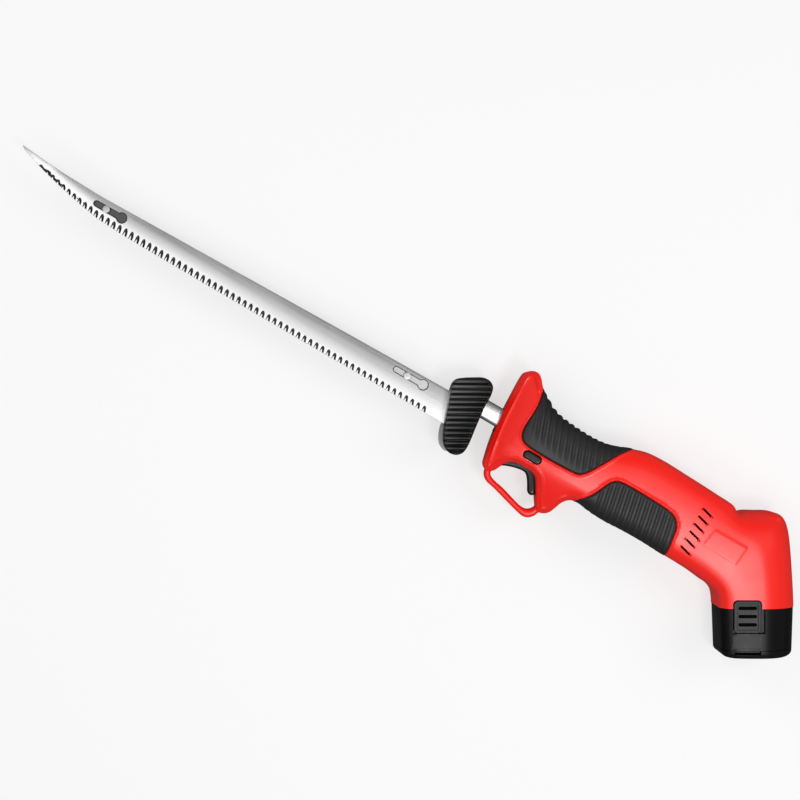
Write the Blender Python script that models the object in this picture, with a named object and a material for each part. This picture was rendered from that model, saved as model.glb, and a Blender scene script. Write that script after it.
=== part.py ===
"""Cordless electric fillet knife, modelled in Blender as separate solids.

The tool is drawn in its own frame: the drive axis is y = 0 and z = 0 with the blades towards -x, the tool's
top is +y and its left side +z. The nose's front face is near x = 0. A root empty then lays the tool on its
right side, with the middle of its box over the origin. Metres throughout.
"""

import math

import bmesh
import bpy
from mathutils import Matrix, Vector

# Gaps between pieces
SEAM_GAP = 0.0002
FIT_GAP = 0.0003
RUN_GAP = 0.0004

# Housing
BODY_HALF_WIDTH = 0.0225
NOSE_HALF_WIDTH = 0.0125
NOSE_FRONT = 0.0005
NOSE_TAPER = 0.0240
BOSS_TAPER_TOP = -0.0170
BOSS_TAPER_DEPTH = 0.0215
BOSS_TAPER_SHARE = 0.60
BOSS_TAPER_END = 0.0700
WALL = 0.0028
NOSE_ROUND = 0.0035
GRIP_ROUND = 0.0095
NECK_FRONT_ROUND = 0.0080
NECK_TOP_ROUND = 0.0150
NECK_BACK_ROUND = 0.0200
LEAST_ROUND = 0.0005
OUTLINE_TOLERANCE = 0.00018
INSIDE_TOLERANCE = 0.0004
MOST_INSET = 0.8
INSET_CHANGE = 0.5
WELD_DISTANCE = 0.000003
ARC_STEPS = 3

# Trigger guard bar
GUARD_HALF_WIDTH = 0.0060
GUARD_ROUND = 0.0018

# Battery pack: its own frame runs along the pack, t across it and s up into the neck
PACK_CENTRE = (0.1962, -0.0217)
PACK_ANGLE = math.radians(30)
NECK_HALF_DEPTH = 0.0240
PACK_HEIGHT = 0.0302
PACK_BASE_HEIGHT = 0.0050
PACK_TOP_SHARE = 0.985
PACK_FOOT_SHARE = 0.94
PACK_BASE_ROUND = 0.0030
PACK_WALL = 0.0018
TOWER_WALL = 0.0009
HEAD_THICKNESS = 0.0022
CELL_DIAMETER = 0.0182
CELL_LENGTH = 0.0650
CELL_SPACING = 0.0185
CELL_PLAY = 0.0002
CELL_RECESS = 0.0005
CELL_FLOOR = -PACK_HEIGHT + PACK_BASE_HEIGHT + CELL_PLAY
TOWER_HEIGHT = CELL_FLOOR + CELL_LENGTH
PAIR_OFFSET = -0.0089
CONTACT_THICKNESS = 0.0008
CONTACT_HEIGHT = 0.0050
CONTACT_OFFSET = 0.0055

# Battery catches
LATCH_OFFSET = -0.0082
LATCH_WIDTH = 0.0166
LATCH_TOP = 0.0052
LATCH_BOTTOM = -0.0145
LATCH_THICKNESS = 0.0020
LATCH_TRAVEL = 0.0009
LATCH_GROOVES = 3
LATCH_GROOVE = 0.0012
LATCH_SPRING = 0.0003

# Grips
GRIP_DEPTH = 0.0012
GRIP_RISE = 0.0006
RIB_PITCH = 0.0042
RIB_GROOVE = 0.0017
UPPER_RIB_LEAN = math.radians(20)
LOWER_RIB_LEAN = math.radians(12)
UPPER_RIBS = 13
LOWER_RIBS = 13

# Vents, label places, lock
VENT_LENGTH = 0.0085
VENT_WIDTH = 0.0014
VENT_LEAN = math.radians(-15)
VENT_COUNT = 6
VENT_PITCH = 0.0053
VENT_CENTRE = (0.1387, -0.0005)
LABEL_DEPTH = 0.0004
NOSE_LABEL = ((0.0048, -0.0108), (0.0142, -0.0108), (0.0152, 0.0112), (0.0138, 0.0126), (0.0062, 0.0126),
              (0.0044, 0.0104))
REAR_LABEL = ((0.1462, -0.0050), (0.1480, 0.0060), (0.1700, 0.0060), (0.1690, -0.0060))
LOCK_CENTRE = (0.0299, -0.0112)
LOCK_LENGTH = 0.0117
LOCK_HEIGHT = 0.0050
LOCK_RECESS = 0.0006
LOCK_TRAVEL = 0.0025

# Motor and gearing
MOTOR_DIAMETER = 0.0280
MOTOR_LENGTH = 0.0380
MOTOR_FRONT = 0.0875
MOTOR_WALL = 0.0012
MOTOR_AXIS_Y = 0.0085
CAP_LENGTH = 0.0040
SHAFT_DIAMETER = 0.0032
ARMATURE_DIAMETER = 0.0180
ARMATURE_LENGTH = 0.0240
MAGNET_THICKNESS = 0.0030
GEAR_MODULE = 0.0010
WHEEL_TEETH = 20
WORM_STARTS = 2
WORM_RADIUS = 0.0040
WORM_LENGTH = 0.0200
GEAR_CLEARANCE = 0.0003
TOOTH_SHARE = 0.34
WHEEL_X = 0.0620
WHEEL_WIDTH = 0.0060
AXLE_DIAMETER = 0.0020
CRANK_RADIUS = 0.0030
CRANK_PIN_DIAMETER = 0.0040
CRANK_REACH = 0.0039
CRANK_PLAY = 0.0007

# Gear frame
FRAME_PLATE = 0.0022
FRAME_INSIDE = 0.0082
FRAME_FRONT = 0.0470
FRAME_LOW_TOP = 0.0045
FRAME_LOW_END = 0.0780
BUSH_DIAMETER = 0.0076

# Drive bars
BAR_HEIGHT = 0.0120
BAR_GAP = 0.00025
BAR_SIDE = 0.0055
BAR_FRONT = -0.0300
TANG_ROOM = 0.00165
YOKE_INSIDE = 0.0041
YOKE_THICKNESS = 0.0024
YOKE_LENGTH = 0.0300
YOKE_HEIGHT = 0.0180
STROKE_HALF = 0.0031

# Nose guide
GUIDE_FRONT = 0.0022
GUIDE_LENGTH = 0.0120
GUIDE_WALL = 0.0026
SHOULDER_SETBACK = 0.0050
SHOULDER_LENGTH = 0.0030
SHOULDER_RISE = 0.0022

# Blades
BLADE_TIP_X = -0.3385
BLADE_THICKNESS = 0.0012
BLADE_GAP = 0.00015
TOOTH_START_X = -0.0400
TOOTH_END_X = -0.3180
TOOTH_PITCH = 0.0043
GRIND_HEIGHT = 0.0036
TANG_END_X = -0.0120
FRONT_SLOT = (-0.2738, -0.0098, -0.0078, 0.0110)
REAR_SLOT = (-0.0607, -0.0060, -0.0088, 0.0112)
SLOT_WIDTH = 0.0033
KEYHOLE_DIAMETER = 0.0062
RIVET_DIAMETER = 0.0026
RIVET_HEAD = 0.0044
RIVET_HEAD_THICKNESS = 0.0007

# Collars
COLLAR_THICKNESS = 0.0140
COLLAR_ROUND = 0.0028
COLLAR_GROOVES = 13
COLLAR_GROOVE_PITCH = 0.0031
COLLAR_GROOVE = 0.0013
COLLAR_GROOVE_DEPTH = 0.0010
CATCH_THICKNESS = 0.0005
CATCH_WIDTH = 0.0050

# Trigger
TRIGGER_HALF_WIDTH = 0.0045
TRIGGER_PIVOT = (0.0203, -0.0140)
TRIGGER_TURN = math.radians(8)
TRIGGER_ROOM_STEPS = 3
PIVOT_PIN_DIAMETER = 0.0025
SPRING_WIRE = 0.0006
SPRING_TURNS = 2

# Switch
SWITCH_LOW = (0.0482, -0.0262)
SWITCH_HIGH = (0.0570, -0.0157)
SWITCH_HALF_WIDTH = 0.0055
PLUNGER_DIAMETER = 0.0024
PLUNGER_Y = -0.0235
PLUNGER_TIP_X = 0.0428
PLUNGER_TRAVEL = 0.0029

# Screws: (x, y) on the mid-plane, the heads seated this far out in the right half
SCREWS = ((0.0108, 0.0255), (0.0122, -0.0262), (0.0550, -0.0318), (0.0950, -0.0105), (0.1480, 0.0170),
          (0.1510, -0.0155), (0.1838, 0.0288))
SCREW_DIAMETER = 0.0026
SCREW_HEAD = 0.0048
SCREW_HEAD_THICKNESS = 0.0018
SCREW_SEAT = 0.0080
SCREW_BITE = 0.0070
BOSS_DIAMETER = 0.0074

# Leads
LEAD_DIAMETER = 0.0016

RED = (0.80, 0.02, 0.02, 1)
BLACK = (0.02, 0.02, 0.02, 1)
DARK = (0.05, 0.05, 0.05, 1)
STEEL = (0.62, 0.63, 0.64, 1)
BRASS = (0.70, 0.50, 0.20, 1)
NYLON = (0.80, 0.78, 0.70, 1)
COPPER = (0.60, 0.25, 0.12, 1)
BLUE = (0.08, 0.20, 0.50, 1)

Z_AXIS = Vector((0, 0, 1))
TO_X = Matrix.Rotation(math.radians(90), 4, "Y")
PACK_FRAME = Matrix.Translation((*PACK_CENTRE, 0)) @ Matrix.Rotation(PACK_ANGLE, 4, "Z")
WHEEL_RADIUS = GEAR_MODULE * WHEEL_TEETH / 2
WHEEL_TIP = WHEEL_RADIUS + GEAR_MODULE
WHEEL_Y = MOTOR_AXIS_Y - WHEEL_RADIUS - WORM_RADIUS


def clear_scene():
    for obj in list(bpy.data.objects):
        bpy.data.objects.remove(obj)


def finish(name, color, roughness, metallic=0.0):
    """One Principled material, named for the sub-part it is on."""
    material = bpy.data.materials.new(name)
    material.use_nodes = True
    shader = material.node_tree.nodes["Principled BSDF"]
    shader.inputs["Base Color"].default_value = color
    shader.inputs["Roughness"].default_value = roughness
    shader.inputs["Metallic"].default_value = metallic
    return material


def add_object(name, bm, outward=False):
    """The bmesh as an object, its faces turned outwards unless they are already."""
    if not outward:
        bmesh.ops.recalc_face_normals(bm, faces=bm.faces)
    mesh = bpy.data.meshes.new(name)
    bm.to_mesh(mesh)
    bm.free()
    mesh.shade_smooth()
    mesh.set_sharp_from_angle(angle=math.radians(35))
    obj = bpy.data.objects.new(name, mesh)
    bpy.context.scene.collection.objects.link(obj)
    return obj


def colored(obj, color, roughness, metallic=0.0):
    obj.data.materials.clear()
    obj.data.materials.append(finish(obj.name, color, roughness, metallic))
    return obj


def loft(name, rings, matrix=None):
    """A closed solid through rings of equal point counts, capped at both ends."""
    bm = bmesh.new()
    rows = [[bm.verts.new(point) for point in ring] for ring in rings]
    for low, high in zip(rows, rows[1:]):
        for i in range(len(low)):
            j = (i + 1) % len(low)
            bm.faces.new((low[i], low[j], high[j], high[i]))
    bm.faces.new(rows[0][::-1])
    bm.faces.new(rows[-1])
    if matrix is not None:
        bm.transform(matrix)
    return add_object(name, bm)


def prism(name, outline, low, high, matrix=None):
    rings = [[(x, y, z) for x, y in outline] for z in (low, high)]
    return loft(name, rings, matrix)


def block(name, low, high, matrix=None):
    corners = ((low[0], low[1]), (high[0], low[1]), (high[0], high[1]), (low[0], high[1]))
    return prism(name, corners, low[2], high[2], matrix)


def ring_points(radius, sides, phase=0.0):
    step = 2 * math.pi / sides
    return [(radius * math.cos(phase + i * step), radius * math.sin(phase + i * step)) for i in range(sides)]


def turned(name, profile, sides, matrix=None):
    """A solid of revolution about z through (z, radius) points."""
    rings = [[(x, y, z) for x, y in ring_points(radius, sides)] for z, radius in profile]
    return loft(name, rings, matrix)


def rod(name, centre, radius, low, high, sides=12):
    return turned(name, ((low, radius), (high, radius)), sides, Matrix.Translation((centre[0], centre[1], 0)))


def slot_outline(centre, length, width, lean=0.0, steps=3):
    """A round-ended slot as outline points."""
    reach = (length - width) / 2
    points = []
    for side in (1, -1):
        for i in range(steps + 1):
            angle = math.pi * (i / steps - 0.5) + (0 if side > 0 else math.pi)
            points.append((side * reach + width / 2 * math.cos(angle), width / 2 * math.sin(angle)))
    turn = [(x * math.cos(lean) - y * math.sin(lean), x * math.sin(lean) + y * math.cos(lean))
            for x, y in points]
    return [(centre[0] + x, centre[1] + y) for x, y in turn]


def settle(obj):
    """Applies the object's modifiers to its mesh and welds points that are closer than the weld distance."""
    graph = bpy.context.evaluated_depsgraph_get()
    mesh = bpy.data.meshes.new_from_object(obj.evaluated_get(graph))
    obj.modifiers.clear()
    bm = bmesh.new()
    bm.from_mesh(mesh)
    bmesh.ops.remove_doubles(bm, verts=bm.verts, dist=WELD_DISTANCE)
    bm.to_mesh(mesh)
    bm.free()
    old = obj.data
    obj.data = mesh
    bpy.data.meshes.remove(old)


def combine(target, tool, operation, keep=False):
    modifier = target.modifiers.new(operation, "BOOLEAN")
    modifier.operation = operation
    modifier.solver = "EXACT"
    modifier.object = tool
    settle(target)
    if not keep:
        bpy.data.objects.remove(tool)
    return target


def cut(target, tool, keep=False):
    return combine(target, tool, "DIFFERENCE", keep)


def fuse(target, tool):
    return combine(target, tool, "UNION")


def grouped(name, objects):
    """Solids that don't meet, joined as one cutter."""
    bm = bmesh.new()
    for obj in objects:
        bm.from_mesh(obj.data)
        bpy.data.objects.remove(obj)
    return add_object(name, bm, outward=True)


def copy_of(obj, name, mirror=False):
    bm = bmesh.new()
    bm.from_mesh(obj.data)
    if mirror:
        bm.transform(Matrix.Scale(-1, 4, Z_AXIS))
        bmesh.ops.reverse_faces(bm, faces=bm.faces)
    return add_object(name, bm, outward=True)


def both_sides(obj, name):
    """The left piece renamed, and its mirror image for the right."""
    right = copy_of(obj, f"{name}_right", mirror=True)
    obj.name = f"{name}_left"
    return obj, right


def spline(keys, steps):
    """Points on a closed centripetal Catmull-Rom curve through the keys, their third values carried along."""
    count = len(keys)
    points = []
    for i in range(count):
        four = [Vector(keys[(i + k - 1) % count]) for k in range(4)]
        knots = [0.0]
        for a, b in zip(four, four[1:]):
            knots.append(knots[-1] + (b - a).xy.length ** 0.5)
        for k in range(steps):
            t = knots[1] + (knots[2] - knots[1]) * k / steps
            level = list(four)
            for depth in (1, 2, 3):
                mixed = []
                for n in range(len(level) - 1):
                    low, high = (knots[n], knots[n + depth]) if depth != 2 else (knots[n], knots[n + 2])
                    if depth == 3:
                        low, high = knots[1], knots[2]
                    share = (t - low) / (high - low)
                    mixed.append(level[n].lerp(level[n + 1], share))
                level = mixed
            points.append(level[0])
    return points


def thinned(points, tolerance):
    """The points of a closed line that its shape needs."""
    kept = [0]
    for i in range(2, len(points)):
        a, b = points[kept[-1]].xy, points[i].xy
        along = (b - a).normalized()
        far = max(abs((points[k].xy - a).cross(along)) for k in range(kept[-1] + 1, i))
        if far > tolerance:
            kept.append(i - 1)
    return [points[i] for i in kept]


def pack_point(t, s):
    """A point of the pack's frame in the tool's."""
    point = PACK_FRAME @ Vector((t, s, 0))
    return point.x, point.y


def nose_keys():
    n = NOSE_ROUND
    front = NOSE_FRONT
    return [
        (front + 0.0003, 0.0140, n), (front, 0.0290, n), (front + 0.0005, 0.0317, n),
        (front + 0.0027, 0.0342, n), (front + 0.0055, 0.0355, n), (front + 0.0083, 0.0352, n),
        (front + 0.0108, 0.0332, n), (front + 0.0135, 0.0298, n), (front + 0.0165, 0.0273, 0.0060),
        (front + 0.0205, 0.0253, 0.0080),
    ]


def back_keys():
    g = GRIP_ROUND
    return [
        (0.0260, 0.0222, g), (0.0330, 0.0198, g), (0.0420, 0.0186, g), (0.0520, 0.0180, g),
        (0.0600, 0.0181, g), (0.0670, 0.0190, g), (0.0740, 0.0211, g), (0.0820, 0.0243, g),
        (0.0900, 0.0266, g), (0.1000, 0.0274, g), (0.1200, 0.0268, g), (0.1400, 0.0259, g),
        (0.1520, 0.0250, g),
    ]


def neck_keys():
    top, back, front = NECK_TOP_ROUND, NECK_BACK_ROUND, NECK_FRONT_ROUND
    half = NECK_HALF_DEPTH
    beyond = -0.0200
    places = [
        (-0.0115, 0.0578, 0.0110), (-0.0065, 0.0588, top), (0.0000, 0.0587, top), (0.0090, 0.0584, top),
        (0.0150, 0.0563, top), (0.0188, 0.0525, back), (0.0206, 0.0470, back), (0.0217, 0.0390, back),
        (half - 0.0006, 0.0150, back), (half, 0.0000, back), (half, beyond, back), (-half, beyond, front),
        (-half, 0.0000, front), (-0.0243, 0.0050, front), (-0.0253, 0.0092, front), (-0.0278, 0.0126, front),
        (-0.0325, 0.0158, GRIP_ROUND),
    ]
    return [(*pack_point(t, s), r) for t, s, r in places]


def belly_keys():
    g, n = GRIP_ROUND, NOSE_ROUND
    front = NOSE_FRONT
    return [
        (0.1500, -0.0232, g), (0.1300, -0.0226, g), (0.1150, -0.0220, g), (0.1000, -0.0222, g),
        (0.0900, -0.0227, g), (0.0800, -0.0223, g), (0.0720, -0.0211, g), (0.0655, -0.0216, 0.0070),
        (0.0618, -0.0238, 0.0050), (0.0596, -0.0270, n), (0.0584, -0.0310, n), (0.0570, -0.0348, n),
        (0.0548, -0.0372, n), (0.0520, -0.0384, n), (0.0496, -0.0381, n), (0.0480, -0.0360, n),
        (0.0435, -0.0287, n), (0.0403, -0.0232, n), (0.0380, -0.0204, n), (0.0345, -0.0189, n),
        (0.0280, -0.0187, n), (0.0225, -0.0192, n), (0.0192, -0.0208, n), (0.0172, -0.0235, n),
        (0.0157, -0.0272, n), (0.0140, -0.0303, n), (0.0113, -0.0320, n), (front + 0.0082, -0.0315, n),
        (front + 0.0063, -0.0295, n), (front + 0.0054, -0.0265, n), (front + 0.0028, -0.0140, n),
        (front + 0.0011, 0.0000, n),
    ]


def body_outline(tolerance):
    keys = nose_keys() + back_keys() + neck_keys() + belly_keys()
    return thinned(spline(keys, 6), tolerance)[::-1]


def inward(points):
    """Each point's inward normal and how far along it the point may move, which neighbours nearly share."""
    found = []
    count = len(points)
    for i, here in enumerate(points):
        along = (points[(i + 1) % count].xy - points[i - 1].xy).normalized()
        normal = Vector((-along.y, along.x))
        reach = 1.0
        for other in points:
            gap = other.xy - here.xy
            across = gap.dot(normal)
            if across > 1e-6:
                reach = min(reach, MOST_INSET * gap.length_squared / (2 * across))
        found.append([normal, reach])
    for order in (range(count), range(count - 1, -1, -1)):
        for i in list(order) * 2:
            for j in (i - 1, (i + 1) % count):
                apart = (points[i].xy - points[j].xy).length
                found[i][1] = min(found[i][1], found[j][1] + INSET_CHANGE * apart)
    return found


def inset_outline(points, distance):
    """The outline moved in, or out for a negative distance, with its edge rounds reduced to match."""
    moved = []
    for here, (normal, reach) in zip(points, inward(points)):
        step = min(distance, reach)
        moved.append(Vector((*(here.xy + normal * step), max(here.z - distance, LEAST_ROUND))))
    return moved


def half_width_at(x, y):
    """The body's half width: narrow at the nose and at the trigger guard's boss."""
    nose = min(max((x - NOSE_FRONT) / NOSE_TAPER, 0), 1)
    width = NOSE_HALF_WIDTH + (BODY_HALF_WIDTH - NOSE_HALF_WIDTH) * math.sin(nose * math.pi / 2)
    low = min(max((BOSS_TAPER_TOP - y) / BOSS_TAPER_DEPTH, 0), 1)
    near = min(max((BOSS_TAPER_END + 0.006 - x) / 0.006, 0), 1)
    return width * (1 - BOSS_TAPER_SHARE * low * near)


def split_at(bm, place, normal):
    geometry = bm.verts[:] + bm.edges[:] + bm.faces[:]
    bmesh.ops.bisect_plane(bm, geom=geometry, plane_co=place, plane_no=normal, dist=1e-7)


def slab(name, outline, inset, base):
    """Half of the rounded body from the mid-plane out, as far inside its skin as the inset says.

    A negative inset raises the edges only: the flat sides stay where they are."""
    points = inset_outline(outline, inset) if inset else outline
    inset = max(inset, 0)
    top = BODY_HALF_WIDTH - inset
    spots = []
    for here, (normal, reach) in zip(points, inward(points)):
        reach = min(here.z, reach)
        spots.append((here.xy, normal, reach, min(reach, 0.9 * top)))
    rings = [[(*here, base) for here, *_ in spots]]
    for k in range(ARC_STEPS + 1):
        angle = math.pi / 2 * k / ARC_STEPS
        ring = []
        for here, normal, reach, fall in spots:
            spot = here + normal * reach * (1 - math.cos(angle))
            ring.append((*spot, top - fall * (1 - math.sin(angle))))
        rings.append(ring)
    obj = loft(name, rings)
    bm = bmesh.new()
    bm.from_mesh(obj.data)
    bmesh.ops.triangulate(bm, faces=[face for face in bm.faces if len(face.verts) > 4])
    for share in (0.15, 0.35, 0.6, 1.0):
        split_at(bm, (NOSE_FRONT + share * NOSE_TAPER, 0, 0), (1, 0, 0))
    for share in (0.0,):
        split_at(bm, (0, BOSS_TAPER_TOP - share * BOSS_TAPER_DEPTH, 0), (0, 1, 0))
    for vert in bm.verts:
        if vert.co.z > max(base, 0):
            share = (vert.co.z - max(base, 0)) / (top - max(base, 0))
            vert.co.z = max(base, 0) + share * (half_width_at(vert.co.x, vert.co.y) - inset - max(base, 0))
    bmesh.ops.recalc_face_normals(bm, faces=bm.faces)
    bm.to_mesh(obj.data)
    bm.free()
    return obj


def plate(name, outline, base, top, radius, steps):
    """A plate with its upper edge rounded."""
    points = [Vector((*point, radius)) for point in outline]
    spots = [(p.xy, normal, min(radius, reach)) for p, (normal, reach) in zip(points, inward(points))]
    rings = [[(*here, base) for here, *_ in spots]]
    for k in range(steps + 1):
        angle = math.pi / 2 * k / steps
        rings.append([(*(here + normal * reach * (1 - math.cos(angle))), top - reach * (1 - math.sin(angle)))
                      for here, normal, reach in spots])
    obj = loft(name, rings)
    bm = bmesh.new()
    bm.from_mesh(obj.data)
    bmesh.ops.triangulate(bm, faces=[face for face in bm.faces if len(face.verts) > 4])
    bm.to_mesh(obj.data)
    bm.free()
    return obj


GUARD_KEYS = (
    (0.0093, -0.0280), (0.0100, -0.0335), (0.0120, -0.0365), (0.0150, -0.0382), (0.0200, -0.0393),
    (0.0400, -0.0448), (0.0440, -0.0455), (0.0472, -0.0447), (0.0497, -0.0425), (0.0513, -0.0395),
    (0.0525, -0.0350), (0.0485, -0.0350), (0.0473, -0.0378), (0.0447, -0.0403), (0.0410, -0.0408),
    (0.0250, -0.0365), (0.0165, -0.0345), (0.0138, -0.0325), (0.0133, -0.0280),
)

UPPER_GRIP_KEYS = (
    (0.0180, 0.0500), (0.0172, 0.0150), (0.0166, 0.0020), (0.0176, -0.0025), (0.0200, -0.0054),
    (0.0240, -0.0068), (0.0560, -0.0068), (0.0600, -0.0058), (0.0632, -0.0028), (0.0675, 0.0040),
    (0.0760, 0.0180), (0.0850, 0.0290), (0.0980, 0.0500),
)

LOWER_GRIP_KEYS = (
    (0.0600, -0.0400), (0.0668, -0.0210), (0.0702, -0.0165), (0.0733, -0.0118), (0.0760, -0.0060),
    (0.0783, -0.0012), (0.0812, 0.0018), (0.0850, 0.0029), (0.1160, 0.0024), (0.1205, 0.0016),
    (0.1242, -0.0006), (0.1267, -0.0040), (0.1278, -0.0085), (0.1280, -0.0400),
)

TRIGGER_KEYS = (
    (0.0157, -0.0258), (0.0190, -0.0241), (0.0245, -0.0222), (0.0300, -0.0212), (0.0328, -0.0216),
    (0.0350, -0.0236), (0.0374, -0.0272), (0.0396, -0.0308), (0.0414, -0.0318), (0.0432, -0.0312),
    (0.0440, -0.0290), (0.0428, -0.0250), (0.0403, -0.0205), (0.0385, -0.0182), (0.0355, -0.0168),
    (0.0300, -0.0158), (0.0250, -0.0152), (0.0231, -0.0137), (0.0222, -0.0118), (0.0203, -0.0111),
    (0.0184, -0.0118), (0.0174, -0.0140), (0.0172, -0.0180), (0.0162, -0.0220),
)

COLLAR_KEYS = (
    (-0.0350, 0.0055), (-0.0336, -0.0013), (-0.0316, -0.0083), (-0.0281, -0.0173), (-0.0231, -0.0283),
    (-0.0211, -0.0313), (-0.0186, -0.0335), (-0.0150, -0.0345), (-0.0112, -0.0332), (-0.0087, -0.0305),
    (-0.0079, -0.0273), (-0.0084, -0.0213), (-0.0096, -0.0133), (-0.0107, -0.0043), (-0.0112, 0.0050),
    (-0.0114, 0.0110), (-0.0123, 0.0144), (-0.0145, 0.0163), (-0.0174, 0.0156), (-0.0224, 0.0128),
    (-0.0284, 0.0098), (-0.0336, 0.0079),
)


def curve_through(keys, steps=3, tolerance=0.0001):
    """A smooth closed outline through the keys, counter-clockwise."""
    points = [point.xy for point in thinned(spline([(*key, 0) for key in keys], steps), tolerance)]
    area = sum(a.x * b.y - b.x * a.y for a, b in zip(points, points[1:] + points[:1]))
    return [tuple(point) for point in (points if area > 0 else points[::-1])]


def offset_outline(outline, distance):
    """A plain outline grown by the distance, or shrunk where it is negative."""
    grown = inset_outline([Vector((*point, 1)) for point in outline], -distance)
    return [(point.x, point.y) for point in grown]


def egg_section(front, back, half, front_round, back_round):
    """Half of the pack's section, (t, z) from the front edge over +z to the back edge."""
    points = []
    for k in range(ARC_STEPS + 1):
        angle = math.pi / 2 * k / ARC_STEPS
        fall = min(front_round, 0.9 * half)
        points.append((front + front_round * (1 - math.cos(angle)), half - fall * (1 - math.sin(angle))))
    for k in range(ARC_STEPS, -1, -1):
        angle = math.pi / 2 * k / ARC_STEPS
        fall = min(back_round, 0.9 * half)
        points.append((back - back_round * (1 - math.cos(angle)), half - fall * (1 - math.sin(angle))))
    return points


def whole_section(half_section):
    return half_section + [(t, -z) for t, z in reversed(half_section)]


def pack_loft(name, levels):
    """A solid along the pack through (s, section) levels."""
    rings = [[(t, s, z) for t, z in section] for s, section in levels]
    return loft(name, rings, PACK_FRAME)


def pack_section(inset=0.0, share=1.0):
    half = NECK_HALF_DEPTH - inset
    section = egg_section(-half, half, BODY_HALF_WIDTH - inset, NECK_FRONT_ROUND - inset,
                          NECK_BACK_ROUND - inset)
    return [(t * share, z) for t, z in whole_section(section)]


def tower_section(grow=0.0):
    reach = CELL_DIAMETER / 2 + TOWER_WALL + grow
    front = PAIR_OFFSET - reach
    back = rear_cell_offset() + reach
    half = CELL_SPACING / 2 + reach
    return whole_section(egg_section(front, back, half, 0.6 * reach, 0.9 * half))


def rear_cell_offset():
    return PAIR_OFFSET + CELL_SPACING * math.sqrt(3) / 2


def pack_block(name, low, high):
    """A block in the pack's frame, by (t, s, z) corners."""
    return block(name, low, high, PACK_FRAME)


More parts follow.
